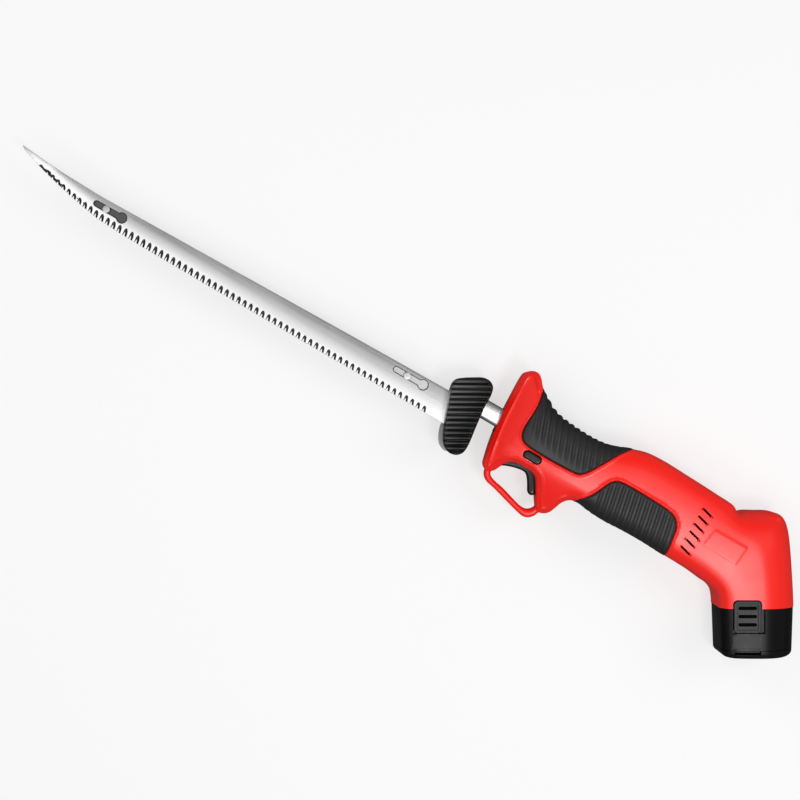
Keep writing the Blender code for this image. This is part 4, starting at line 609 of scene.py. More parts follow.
def copied(obj, name, mirror=False):
    bm = bmesh.new()
    bm.from_mesh(obj.data)
    if mirror:
        bm.transform(Matrix.Scale(-1, 4, Vector((0, 0, 1))))
        bmesh.ops.reverse_faces(bm, faces=bm.faces)
    return from_bmesh(name, bm)


def mirrored(obj):
    other = copied(obj, obj.name, mirror=True)
    bpy.data.objects.remove(obj)
    return other


def loft(name, rings, matrix=None):
    """A closed solid through rings of points, placed by the matrix."""
    count = len(rings[0])
    last = (len(rings) - 1) * count
    faces = []
    for r in range(0, last, count):
        for i in range(count):
            n = (i + 1) % count
            faces.append((r + i, r + n, r + count + n, r + count + i))
    faces += [tuple(range(count))[::-1], tuple(range(last, last + count))]
    obj = add_piece(name, [point for ring in rings for point in ring], faces)
    if matrix is not None:
        obj.data.transform(matrix)
    return obj


def prism(name, outline, low, high, matrix=None):
    return loft(name, [[(x, y, z) for x, y in np.array(outline)[:, :2]] for z in (low, high)], matrix)


def box_tool(name, low, high, matrix=None):
    corners = ((low[0], low[1]), (high[0], low[1]), (high[0], high[1]), (low[0], high[1]))
    return prism(name, corners, low[2], high[2], matrix)


def turned(name, profile, sides, matrix=None):
    """A round solid about z through (z, radius) points."""
    angles = [2 * math.pi * i / sides for i in range(sides)]
    rings = [[(radius * math.cos(a), radius * math.sin(a), z) for a in angles] for z, radius in profile]
    return loft(name, rings, matrix)


def bore(x, y, radius, low, high, sides):
    return turned("bore", ((low, radius), (high, radius)), sides, Matrix.Translation((x, y, 0)))


def slot_points(centre, length, width, lean=0.0, steps=8):
    reach = (length - width) / 2
    points = []
    for side in (1, -1):
        for i in range(steps + 1):
            a = math.pi * (i / steps - 0.5) + (0 if side > 0 else math.pi)
            points.append((side * reach + width / 2 * math.cos(a), width / 2 * math.sin(a)))
    cos, sin = math.cos(lean), math.sin(lean)
    return [(centre[0] + x * cos - y * sin, centre[1] + x * sin + y * cos) for x, y in points]


FINISHED = []


def dress(obj, body, material, nodes, sharp=35):
    """Moves a drawn piece to the frame, gives it its finish and ties it to its body."""
    obj.data.transform(Matrix.Translation(TO_FRAME))
    obj.data.materials.clear()
    obj.data.materials.append(material)
    shaded(obj.data, sharp)
    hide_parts(*nodes)
    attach(obj, body)
    FINISHED.append(obj.name)
    print(obj.name, len(obj.data.polygons), "faces")


def dress_pair(name, left, right, body, material, node, sharp=35):
    """Dresses the left and the right piece, whose names, bodies and nodes differ by their side only."""
    for side, obj in (("left", left), ("right", right)):
        obj.name = f"{name}_{side}"
        dress(obj, body.format(side), material, [f"{node}_{side}"], sharp)


print("solver:", SOLVER)

# %% [markdown]
# The shells. Each is a moulded half with a wall of 2.8 mm. Seen from the side its outline has a tall nose
# flange, a finger arch with a guard bar, a waist and an angled neck for the battery. Each key of the
# outline carries the radius with which the edge rolls over there: tight at the nose, generous at the grip,
# and wide behind the neck.

# %% The shell's outline
BODY_HALF_WIDTH = 22.5 * MM
SEAM_HALF = 0.1 * MM
WALL = 2.8 * MM
GRIP_ROUND = 9.5 * MM
PACK_CENTRE = (196.2 * MM, -21.7 * MM)
PACK_ANGLE = math.radians(30)
PACK_FRAME = Matrix.Translation((*PACK_CENTRE, 0)) @ Matrix.Rotation(PACK_ANGLE, 4, "Z")
NECK_HALF_DEPTH = 24.0 * MM

NOSE_KEYS = (
    (0.8, 14, 3.5), (0.5, 29, 3.5), (1, 31.7, 3.5), (3.2, 34.2, 3.5), (6, 35.5, 3.5), (8.8, 35.2, 3.5),
    (11.3, 33.2, 3.5), (14, 29.8, 3.5), (17, 27.3, 6), (21, 25.3, 8),
)
BACK_KEYS = (
    (26, 22.2, 9.5), (33, 19.8, 9.5), (42, 18.6, 9.5), (52, 18, 9.5), (60, 18.1, 9.5), (67, 19, 9.5),
    (74, 21.1, 9.5), (82, 24.3, 9.5), (90, 26.6, 9.5), (100, 27.4, 9.5), (120, 26.8, 9.5), (140, 25.9, 9.5),
    (152, 25, 9.5),
)
NECK_KEYS = (
    (-11.5, 57.8, 11), (-6.5, 58.8, 15), (0, 58.7, 15), (9, 58.4, 15), (15, 56.3, 15), (18.8, 52.5, 20),
    (20.6, 47, 20), (21.7, 39, 20), (23.4, 15, 20), (24, 0, 20), (24, -20, 20), (-24, -20, 8), (-24, 0, 8),
    (-24.3, 5, 8), (-25.3, 9.2, 8), (-27.8, 12.6, 8), (-32.5, 15.8, 9.5),
)
BELLY_KEYS = (
    (150, -23.2, 9.5), (130, -22.6, 9.5), (115, -22, 9.5), (100, -22.2, 9.5), (90, -22.7, 9.5),
    (80, -22.3, 9.5), (72, -21.1, 9.5), (65.5, -21.6, 7), (61.8, -23.8, 5), (59.6, -27, 3.5),
    (58.4, -31, 3.5), (57, -34.8, 3.5), (54.8, -37.2, 3.5), (52, -38.4, 3.5), (49.6, -38.1, 3.5),
    (48, -36, 3.5), (43.5, -28.7, 3.5), (40.3, -23.2, 3.5), (38, -20.4, 3.5), (34.5, -18.9, 3.5),
    (28, -18.7, 3.5), (22.5, -19.2, 3.5), (19.2, -20.8, 3.5), (17.2, -23.5, 3.5), (15.7, -27.2, 3.5),
    (14, -30.3, 3.5), (11.3, -32, 3.5), (8.7, -31.5, 3.5), (6.8, -29.5, 3.5), (5.9, -26.5, 3.5),
    (3.3, -14, 3.5), (1.6, 0, 3.5),
)


def millimetres(keys):
    return [tuple(v * MM for v in key) for key in keys]


def pack_point(t, s):
    return PACK_FRAME @ Vector((t, s, 0))


def body_keys():
    neck = [(*pack_point(t, s).xy, r) for t, s, r in millimetres(NECK_KEYS)]
    return millimetres(NOSE_KEYS + BACK_KEYS) + neck + millimetres(BELLY_KEYS)


BODY = Outline(body_keys())
print("outline samples:", len(BODY.line))

# %% [markdown]
# The side of a shell isn't flat: it crowns by nearly two millimetres towards its middle, and that soft
# crown gives the long highlight on the neck. It narrows to the nose and to the boss of the guard. One
# function gives the height of the side anywhere, and the same function a little deeper gives the inner wall
# and the beds of the grips.

# %% The height of a shell's side
NOSE_FRONT = 0.5 * MM
NOSE_TAPER = 24.0 * MM
NOSE_HALF_WIDTH = 12.5 * MM
BOSS_TOP = -13.0 * MM
BOSS_DEPTH = 25.5 * MM
BOSS_SHARE = 0.60
BOSS_POWER = 1.4
BOSS_END = (64.0 * MM, 78.0 * MM)
CROWN = 1.8 * MM
CROWN_REACH = 24.0 * MM
SOFT_LENGTH = 6.0 * MM
SOFT_START = (1.0 * MM, 5.0 * MM)
SOFT_RADIUS = (4.5 * MM, 8.0 * MM)
SOFT_FAR = 40.0 * MM
SOFT_BATCH = 2000
SOFT_TABLE = 400
ROLL_POWER = 2.6
ROLL_STRETCH = 1.2
LEAST_ROLL = 0.5 * MM
MOST_ROLL = 0.9 * BODY_HALF_WIDTH
GRIP_SINK = 0.35 * MM
GRIP_SINK_END = (95.0 * MM, 125.0 * MM)
SOFT_LINE = BODY.line[::8]
SOFT_STEP = float(np.mean(np.linalg.norm(np.diff(SOFT_LINE[:, :2], axis=0), axis=1)))


def smooth_step(value, low, high):
    share = np.clip((value - low) / (high - low), 0, 1)
    return share * share * (3 - 2 * share)


def bead(distance, middle, half):
    """A rounded ridge, 1 at its middle and 0 past its half width."""
    return smooth_step(1 - np.abs(distance - middle) / half, 0, 1)


def half_width(x, y):
    nose = np.clip((x - NOSE_FRONT) / NOSE_TAPER, 0, 1)
    width = NOSE_HALF_WIDTH + (BODY_HALF_WIDTH - NOSE_HALF_WIDTH) * np.sin(nose * math.pi / 2)
    sunk = smooth_step(x, NOSE_TAPER / 2, NOSE_TAPER) * (1 - smooth_step(x, *GRIP_SINK_END))
    low = np.clip((BOSS_TOP - y) / BOSS_DEPTH, 0, 1) ** BOSS_POWER
    return (width - GRIP_SINK * sunk) * (1 - BOSS_SHARE * low * (1 - smooth_step(x, *BOSS_END)))


def soft_distance(points):
    """Distance and edge radius without the ridge that a plain distance has between two edges.

    Every place of the edge counts, the near ones most. The sum is then read as the distance from a straight
    edge with the same sum. Very close to the edge the plain distance is kept."""
    plain, radius = BODY.distance(points)
    total = np.zeros(len(points))
    rounds = np.zeros(len(points))
    for start in range(0, len(points), SOFT_BATCH):
        batch = slice(start, start + SOFT_BATCH)
        gap = points[batch, None, :2] - SOFT_LINE[None, :, :2]
        weight = np.exp(-np.linalg.norm(gap, axis=2) / SOFT_LENGTH)
        total[batch] = weight.sum(axis=1)
        rounds[batch] = weight @ SOFT_LINE[:, 2]
    share = total * SOFT_STEP / (2 * SOFT_LENGTH)
    away = np.linspace(0, SOFT_FAR, SOFT_TABLE)
    along = np.linspace(0, 2 * SOFT_FAR, 4 * SOFT_TABLE)
    sums = [np.exp(-np.hypot(d, along) / SOFT_LENGTH).sum() * along[1] / SOFT_LENGTH for d in away]
    soft = np.interp(-share, -np.array(sums), away)
    mix = smooth_step(plain, *SOFT_START) * smooth_step(rounds / total, *SOFT_RADIUS)
    return plain + (soft - plain) * mix, radius + (rounds / total - radius) * mix, soft


def side_height(points, inset=0.0):
    """The shell's side at each point, or the surface that much inside it, or outside for a negative inset."""
    distance, radius, soft = soft_distance(points)
    width = half_width(points[:, 0], points[:, 1])
    reach = np.maximum(radius - inset, LEAST_ROLL)
    fall = np.minimum(reach, MOST_ROLL) * width / BODY_HALF_WIDTH
    turn = np.clip(1 - (distance - inset) / (ROLL_STRETCH * reach), 0, 1)
    crown = CROWN * np.clip(1 - soft / CROWN_REACH, 0, 1) ** 2
    return width - crown - inset - fall * (1 - np.sqrt(1 - turn ** ROLL_POWER))


print("crown", CROWN * 1000, "mm")

# %% [markdown]
# The shell is tiled and raised. Rows of points follow the rolled edge where it is steep, the bead along the
# nose, the thin rims round the grips and the borders of the two label places, so that each of them stays
# crisp.

# %% The shells' skin
UPPER_GRIP_KEYS = (
    (18, 50), (17.2, 15), (16.6, 2), (17.6, -2.5), (20, -5.4), (24, -6.8), (56, -6.8), (60, -5.8),
    (63.2, -2.8), (67.5, 4), (76, 18), (85, 29), (98, 50),
)
LOWER_GRIP_KEYS = (
    (60, -40), (66.8, -21), (70.2, -16.5), (73.3, -11.8), (76, -6), (78.3, -1.2), (81.2, 1.8), (85, 2.9),
    (116, 2.4), (120.5, 1.6), (124.2, -0.6), (126.7, -4), (127.8, -8.5), (128, -40),
)
NOSE_LABEL_KEYS = (
    (4.8, -10.8), (14.2, -10.8), (15.2, 11.2), (13.8, 12.6), (6.2, 12.6), (4.4, 10.4),
)
REAR_LABEL_KEYS = (
    (146.2, -5), (148, 6), (170, 6), (169, -6),
)
UPPER_GRIP = Outline(millimetres(UPPER_GRIP_KEYS))
LOWER_GRIP = Outline(millimetres(LOWER_GRIP_KEYS))
NOSE_LABEL = Outline(millimetres(NOSE_LABEL_KEYS), smooth=False)
REAR_LABEL = Outline(millimetres(REAR_LABEL_KEYS), smooth=False)

EDGE_STEPS = (8, 17, 26, 36, 46, 57)
EDGE_BEAD = 0.95 * MM
EDGE_BEAD_PLACE = 2.9 * MM
EDGE_BEAD_HALF = 1.25 * MM
BEAD_LIMITS = (4.2 * MM, 6.0 * MM)
RIM = 0.45 * MM
RIM_PLACE = 0.95 * MM
RIM_HALF = 0.75 * MM
LABEL_DEPTH = 0.07 * MM
LABEL_EDGE = 0.35 * MM
SKIN_SPACING = 1.2 * MM
LINE_SPACING = 0.6 * MM
SEAM_CHAMFER = 0.25 * MM
BEAD_ROWS = (-1.0, -0.6, -0.3, 0.0, 0.3, 0.6, 1.0)
INSET_ROW = 0.5 * MM
INSET_GRID = 1.5
LEAST_STEP = 0.3
SIDE_ROWS = ((0.75, 0), (0.5, 0), (0.25, 0), (0.06, 0), (0.0, SEAM_CHAMFER))


def edge_rows(outline, spacing, steps=EDGE_STEPS, radius=None):
    """Points on the rolled edge, a row for each angle."""
    step = max(1, round(spacing / SAMPLE_SPACING))
    picked = np.arange(0, len(outline.line) - step // 2, step)
    rows = []
    for angle in steps:
        size = outline.line[picked, 2] if radius is None else np.full(len(picked), radius)
        reach = size * (1 - math.cos(math.radians(angle)))
        row = outline.line[picked, :2] + outline.inward[picked] * reach[:, None]
        rows.append(row[outline.distance(row)[0] > ROW_CLEAR_SHARE * reach])
    return np.vstack(rows)


def skin_points():
    rows = [edge_rows(BODY, LINE_SPACING)]
    for share in BEAD_ROWS:
        row = BODY.loop(LINE_SPACING, EDGE_BEAD_PLACE + share * EDGE_BEAD_HALF)
        rows.append(row[BODY.distance(row)[1] < BEAD_LIMITS[1]])
        for grip in (UPPER_GRIP, LOWER_GRIP):
            rows.append(grip.loop(LINE_SPACING, -RIM_PLACE + share * RIM_HALF))
    for label in (NOSE_LABEL, REAR_LABEL):
        for share in (0.0, 0.5, 1.0):
            rows.append(label.loop(LINE_SPACING, share * LABEL_EDGE))
    rows = np.vstack(rows)
    return rows[BODY.distance(rows)[0] > LEAST_ROW]


def skin_height(points):
    height = side_height(points)
    distance, radius = BODY.distance(points)
    tight = 1 - smooth_step(radius, *BEAD_LIMITS)
    height += EDGE_BEAD * tight * bead(distance, EDGE_BEAD_PLACE, EDGE_BEAD_HALF)
    for grip in (UPPER_GRIP, LOWER_GRIP):
        ridge = bead(-grip.distance(points)[0], RIM_PLACE, RIM_HALF)
        height += RIM * ridge * smooth_step(distance, 0, 1 * MM)
    for label in (NOSE_LABEL, REAR_LABEL):
        height -= LABEL_DEPTH * smooth_step(label.distance(points)[0], 0, LABEL_EDGE)
    return height


def make_skin():
    boundary = BODY.loop(LINE_SPACING)
    flat, faces = tiled(boundary, skin_points(), SKIN_SPACING)
    return closed_field("skin", boundary, flat, faces, skin_height(flat), SIDE_ROWS, SEAM_HALF)


def make_inset_body(name, inset, spacing, base):
    """The body's shape a little smaller, for cutting rooms and beds."""
    boundary = BODY.loop(spacing, inset)
    steps = np.linalg.norm(boundary - np.roll(boundary, 1, axis=0), axis=1)
    boundary = boundary[steps > LEAST_STEP * spacing]
    flat, faces = tiled(boundary, BODY.loop(spacing, inset + INSET_ROW), INSET_GRID * spacing)
    return closed_field(name, boundary, flat, faces, side_height(flat, inset), ((0, 0),), base)


skin = make_skin()
print("skin", len(skin.data.polygons), "faces")

# %% [markdown]
# The rest of a shell comes from cuts, as on a mould: the room inside, the beds of the soft pads, the slots
# for air, and the openings for the bars, the lock, the trigger and the battery's catch. The bosses and ribs
# inside are those of the frame's own shell, so the two halves still screw together.

# %% Cutters shared by the shells
FIT_GAP = 0.3 * MM
RUN_GAP = 0.4 * MM
CUTTER_FLOOR = -10.0 * MM
CUTTER_TOP = 40.0 * MM
PAST = 1.0 * MM
FAR = 60.0 * MM
FINE = 0.5 * MM
GRIP_DEPTH = 1.2 * MM
INSIDE_FLOOR = -5.0 * MM
CORE_PLAY = 0.2 * MM
CORE_SPACING = 2.0 * MM
BED_SPACING = 1.0 * MM
VENT_CENTRE = (138.7 * MM, -0.5 * MM)
VENT_SIZE = (8.5 * MM, 1.4 * MM)
VENT_LEAN = math.radians(-15)
VENT_COUNT = 6
VENT_PITCH = 5.3 * MM
LOCK_CENTRE = (29.9 * MM, -11.2 * MM)
LOCK_SIZE = (11.7 * MM, 5.0 * MM)
BAR_HEIGHT = 12.0 * MM
BAR_SIDE = 5.5 * MM
BAR_FRONT = -30.0 * MM
NOSE_LIP = 1.9 * MM
GUIDE_ROOM = (9.3 * MM, 8.8 * MM)
GUIDE_END = 14.6 * MM
WINDOW_ENDS = (-10.0 * MM, 12.0 * MM)
TRIGGER_KEYS = (
    (15.7, -25.8), (19, -24.1), (24.5, -22.2), (30, -21.2), (32.8, -21.6), (35, -23.6), (37.4, -27.2),
    (39.6, -30.8), (41.4, -31.8), (43.2, -31.2), (44, -29), (42.8, -25), (40.3, -20.5), (38.5, -18.2),
    (35.5, -16.8), (30, -15.8), (25, -15.2), (23.1, -13.7), (22.2, -11.8), (20.3, -11.1), (18.4, -11.8),
    (17.4, -14), (17.2, -18), (16.2, -22),
)
TRIGGER_HALF_WIDTH = 4.5 * MM
TRIGGER_PIVOT = (20.3 * MM, -14.0 * MM)
TRIGGER_TURN = math.radians(8)
TRIGGER_GAP = 0.5 * MM
TRIGGER_SPACING = 0.8 * MM
TRIGGER_PLACES = (0, 1 / 3, 2 / 3, 1)
LATCH_OFFSET = -8.2 * MM
LATCH_HALF = 8.3 * MM
LATCH_TOP = 5.2 * MM
LATCH_BOTTOM = -14.5 * MM
NOTCH_ROUND = 2.6 * MM
NOTCH_DEPTH = 12.0 * MM
NOTCH_FOOT = -10.0 * MM
TRIGGER = Outline(millimetres(TRIGGER_KEYS))


def cad_copy(node, name):
    """A node's own mesh in the drawing's place, with its points joined."""
    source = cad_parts[node]
    bm = bmesh.new()
    bm.from_mesh(source.data)
    bm.transform(Matrix.Translation(-TO_FRAME) @ source.matrix_world)
    bmesh.ops.remove_doubles(bm, verts=bm.verts, dist=1e-6)
    return from_bmesh(name, bm)


def pack_box(name, low, high):
    return box_tool(name, low, high, PACK_FRAME)


def pack_rectangle(low, high, radius, steps=6):
    """A rounded rectangle in the pack's frame, by (t, s) corners, as points of the drawing."""
    corners = ((high[0] - radius, high[1] - radius), (low[0] + radius, high[1] - radius),
               (low[0] + radius, low[1] + radius), (high[0] - radius, low[1] + radius))
    points = []
    for i, (t, s) in enumerate(corners):
        for k in range(steps + 1):
            a = math.pi / 2 * (i + k / steps)
            points.append(tuple(pack_point(t + radius * math.cos(a), s + radius * math.sin(a)).xy))
    return points


def cut_beds(shell):
    for name, grip in (("upper_bed", UPPER_GRIP), ("lower_bed", LOWER_GRIP)):
        bed = prism(name, grip.loop(FINE, -FIT_GAP), -PAST, CUTTER_TOP)
        cut(bed, make_inset_body("bed_floor", GRIP_DEPTH + FIT_GAP, BED_SPACING, INSIDE_FLOOR))
        cut(shell, bed)


def cut_openings(shell):
    bar = (BAR_HEIGHT / 2 + RUN_GAP, BAR_SIDE + RUN_GAP)
    cut(shell, box_tool("bar_window", (WINDOW_ENDS[0], -bar[0], CUTTER_FLOOR), (WINDOW_ENDS[1], *bar)))
    cut(shell, box_tool("guide_room", (NOSE_LIP, -GUIDE_ROOM[0], CUTTER_FLOOR), (GUIDE_END, *GUIDE_ROOM)))
    lock = slot_points(LOCK_CENTRE, LOCK_SIZE[0] + 2 * RUN_GAP, LOCK_SIZE[1] + 2 * RUN_GAP, 0, 12)
    cut(shell, prism("lock_hole", lock, CUTTER_FLOOR, CUTTER_TOP))
    room = TRIGGER.loop(TRIGGER_SPACING, -TRIGGER_GAP)
    pivot = Matrix.Translation((*TRIGGER_PIVOT, 0))
    for share in TRIGGER_PLACES:
        swung = pivot @ Matrix.Rotation(TRIGGER_TURN * share, 4, "Z") @ pivot.inverted()
        cut(shell, prism("trigger_room", room, CUTTER_FLOOR, TRIGGER_HALF_WIDTH + RUN_GAP, swung))
    cut(shell, pack_box("below", (-FAR, -FAR, CUTTER_FLOOR), (FAR, FIT_GAP / 2, CUTTER_TOP)))
    low = (LATCH_OFFSET - LATCH_HALF - RUN_GAP, NOTCH_FOOT)
    high = (LATCH_OFFSET + LATCH_HALF + RUN_GAP, LATCH_TOP + RUN_GAP)
    cut(shell, prism("notch", pack_rectangle(low, high, NOTCH_ROUND), NOTCH_DEPTH, CUTTER_TOP))


print("trigger samples:", len(TRIGGER.line))

# %% [markdown]
# What repeats is placed by Geometry Nodes. This tree puts a copy of one piece on each point of a line: it
# serves the slots for air, the gullets of the blades, the grooves of the catches and the screws. The copies
# can be turned and scaled by values that the points carry.

# %% The tree that places copies


def painted(tree, geometry, material):
    real = add_node(tree, "GeometryNodeRealizeInstances", {0: geometry})
    return add_node(tree, "GeometryNodeSetMaterial", {"Geometry": real, "Material": material})


def carried(tree, name):
    """A value that the points carry under the name."""
    return add_node(tree, "GeometryNodeInputNamedAttribute", {"Name": name}, "Attribute", data_type="FLOAT")


def make_placing_tree():
    inputs = {"Geometry": "Geometry", "Piece": "Object", "Turn": "Float", "Finish": "Material"}
    tree, given, end = new_tree("Copies on points", "GeometryNodeTree", inputs, {"Geometry": "Geometry"})
    copies = add_node(tree, "GeometryNodeInstanceOnPoints", {
        "Points": given["Geometry"],
        "Instance": add_node(tree, "GeometryNodeObjectInfo", {"Object": given["Piece"]}, "Geometry"),
        "Rotation": add_node(tree, "ShaderNodeCombineXYZ", {"Z": given["Turn"]}),
        "Scale": add_node(tree, "ShaderNodeCombineXYZ", {"X": 1, "Y": carried(tree, "tall"), "Z": 1}),
    })
    feed(tree, end, {"Geometry": painted(tree, copies, given["Finish"])})
    return tree


def run_tree(obj, tree, attribute, carried_values, inputs):
    """Writes the points' values, runs the tree on the object and keeps what comes out as its mesh."""
    values = obj.data.attributes.new(attribute, "FLOAT", "POINT")
    values.data.foreach_set("value", carried_values)
    modifier = obj.modifiers.new(tree.name, "NODES")
    modifier.node_group = tree
    for item in tree.interface.items_tree:
        if item.name in inputs:
            modifier[item.identifier] = inputs[item.name]
    return applied(obj)


def placed(name, piece, points, tall=None, turn=0.0):
    """One mesh with a copy of the piece on each point."""
    mesh = bpy.data.meshes.new(name)
    mesh.from_pydata([tuple(p) for p in points], [], [])
    inputs = {"Piece": piece, "Turn": turn, "Finish": RED_SHELL}
    obj = run_tree(new_object(name, mesh), PLACING, "tall", tall or [1.0] * len(points), inputs)
    bpy.data.objects.remove(piece)
    return obj


PLACING = make_placing_tree()
print("tree:", PLACING.name)

# %% [markdown]
# Now the left shell is put together and the right one is its mirror image. The guard bar under the trigger
# is a round rod, moulded on. Only the right shell has the deep bores for the screws: the left one holds
# blind bosses.

# %% The two shells
GUARD_KEYS = (
    (9.3, -28), (10, -33.5), (12, -36.5), (15, -38.2), (20, -39.3), (40, -44.8), (44, -45.5), (47.2, -44.7),
    (49.7, -42.5), (51.3, -39.5), (52.5, -35), (48.5, -35), (47.3, -37.8), (44.7, -40.3), (41, -40.8),
    (25, -36.5), (16.5, -34.5), (13.8, -32.5), (13.3, -28),
)
GUARD_HALF_WIDTH = 6.0 * MM
GUARD_ROUND = 2.3 * MM
VENT_LEVELS = (14.5 * MM, 27.5 * MM)
SCREW_KEYS = ((10.8, 25.5), (12.2, -26.2), (55, -31.8), (95, -10.5), (148, 17), (151, -15.5), (183.8, 28.8))
SCREWS = [(x, y, 0) for x, y in millimetres(SCREW_KEYS)]
SCREW_DIAMETER = 2.6 * MM
SCREW_HEAD = 4.8 * MM
SCREW_SEAT = 8.0 * MM
BORE_END = -30.0 * MM
PLATE_STEPS = (10, 20, 30, 42, 54, 66, 78, 90)
PLATE_WALL = ((0.5, 0), (0, 0))


def rounded_plate(name, outline, base, top, radius, spacing, extra=(), height=None):
    """A plate over an outline, its upper edge rolled over with the radius."""
    boundary = outline.loop(spacing)
    rows = np.vstack([edge_rows(outline, spacing, PLATE_STEPS, radius), *extra])
    flat, faces = tiled(boundary, rows, 2 * spacing)
    turn = np.clip(1 - outline.distance(flat)[0] / radius, 0, 1)
    heights = top - radius * (1 - np.sqrt(1 - turn ** 2))
    if height is not None:
        heights = height(flat, heights)
    return closed_field(name, boundary, flat, faces, heights, PLATE_WALL, base)


def vent_cutter():
    points = slot_points((0, 0), *VENT_SIZE, VENT_LEAN)
    vent = prism("vent", points, *VENT_LEVELS)
    middle = (VENT_COUNT - 1) / 2
    places = [(VENT_CENTRE[0], VENT_CENTRE[1] + (i - middle) * VENT_PITCH, 0) for i in range(VENT_COUNT)]
    return placed("vents", vent, places)


def make_shells():
    guard = Outline(millimetres(GUARD_KEYS))
    left = joined(skin, rounded_plate("guard", guard, SEAM_HALF, GUARD_HALF_WIDTH, GUARD_ROUND, FINE))
    cut(left, make_inset_body("room", WALL, CORE_SPACING, INSIDE_FLOOR))
    cut_beds(left)
    cut(left, vent_cutter())
    core = make_inset_body("core", GRIP_DEPTH + FIT_GAP + CORE_PLAY, CORE_SPACING, 0)
    right = copied(left, "right", mirror=True)
    cores = (core, copied(core, "right_core", mirror=True))
    for half, node, limit in zip((left, right), ("housing_left", "housing_right"), cores):
        joined(half, shared(cad_copy(node, "inner"), limit))
    cut_openings(left)
    right = mirrored(right)
    cut_openings(right)
    right = mirrored(right)
    head = SCREW_HEAD / 2 + FIT_GAP
    shank = SCREW_DIAMETER / 2 + FIT_GAP
    profile = ((PAST, shank), (-SCREW_SEAT, shank), (-SCREW_SEAT, head), (BORE_END, head))
    cut(right, placed("bores", turned("bore", profile, 32), SCREWS))
    dress_pair("shell", left, right, "handle", RED_SHELL, "housing")


make_shells()

# %% [markdown]
# The soft pads are moulded in rubber over the shell. Their ribs run across the grip so that a wet hand
# doesn't slip. A tree moves the surface in along its own normals wherever a groove runs, so the ribs also
# show on the rounded back of the handle. A value on each point says how deep a groove may be there, which
# lets the ribs fade out.

# %% The tree that cuts ribs


def make_rib_tree():
    inputs = {"Geometry": "Geometry", "Across": "Vector", "Start": "Float", "Pitch": "Float",
              "Groove share": "Float", "Depth": "Float", "Finish": "Material"}
    tree, given, end = new_tree("Ribs", "GeometryNodeTree", inputs, {"Geometry": "Geometry"})
    place = add_node(tree, "GeometryNodeInputPosition")
    phase = rib_phase(tree, place, given["Across"], given["Start"], given["Pitch"])
    from_groove = maths(tree, "SUBTRACT", 0.5, phase)
    shape = ranged(tree, from_groove, 0.0, given["Groove share"], 1.0, 0.0, "SMOOTHSTEP")
    depth = maths(tree, "MULTIPLY", maths(tree, "MULTIPLY", shape, carried(tree, "amount")),
                  maths(tree, "MULTIPLY", given["Depth"], -1))
    normal = add_node(tree, "GeometryNodeInputNormal")
    push = add_node(tree, "ShaderNodeVectorMath", {0: normal, "Scale": depth}, operation="SCALE")
    moved = add_node(tree, "GeometryNodeSetPosition", {"Geometry": given["Geometry"], "Offset": push})
    feed(tree, end, {"Geometry": painted(tree, moved, given["Finish"])})
    return tree


def ribbed(obj, amount, across, start, pitch, share, depth, material):
    """Runs the rib tree; the amount is a function of the points' places, as an array."""
    places = np.array([tuple(v.co) for v in obj.data.vertices])
    inputs = {"Across": across, "Start": start, "Pitch": pitch, "Groove share": share, "Depth": depth}
    return run_tree(obj, RIBS, "amount", amount(places), {**inputs, "Finish": material})


RIBS = make_rib_tree()
print("tree:", RIBS.name)

# %% [markdown]
# A pad starts as a patch of the body's own skin, a little outside it and finely tiled. The ribs go in, the
# patch is trimmed to the pad's outline, and its underside is cut to the bed. Its rim rolls down into a
# narrow dark gap.

# %% The soft pads
PAD_RISE = 0.35 * MM
PAD_SPACING = 0.55 * MM
PAD_ROLL = 1.5 * MM
PAD_ROLL_DROP = 1.3 * MM
RIB_PITCH = 4.2 * MM
RIB_SHARE = 0.42
RIB_DEPTH = 0.9 * MM
UPPER_LEAN = math.radians(20)
LOWER_LEAN = math.radians(12)
UPPER_RIB_START = 34.5 * MM
UPPER_RIB_FIRST = 21.0 * MM
LOWER_RIB_START = 83.5 * MM
LOWER_RIB_FIRST = 72.5 * MM
RIB_MARGIN = (0.4 * MM, 2.0 * MM)
FIRST_RIB_WIDTH = 2.0 * MM
FADE_SLOPE = 0.10
FADE_HEIGHT = 1.0 * MM
FADE_BELOW = 5.0 * MM
FADE_ABOVE = 4.0 * MM
PAD_CREASE = 50
PAD_SIDE = 8.0 * MM
PAD_CLEAR = (0.05 * MM, 0.2 * MM)
UPPER_PATCH = ((11.0 * MM, 104.0 * MM), -11.0 * MM)
LOWER_PATCH = ((61.0 * MM, 134.0 * MM), 7.0 * MM)
PAD_INSETS = (0.0, 0.3, 0.6, 0.9, 1.3)
PAD_WALL = [(1 - k / 14, 0) for k in range(1, 15)]


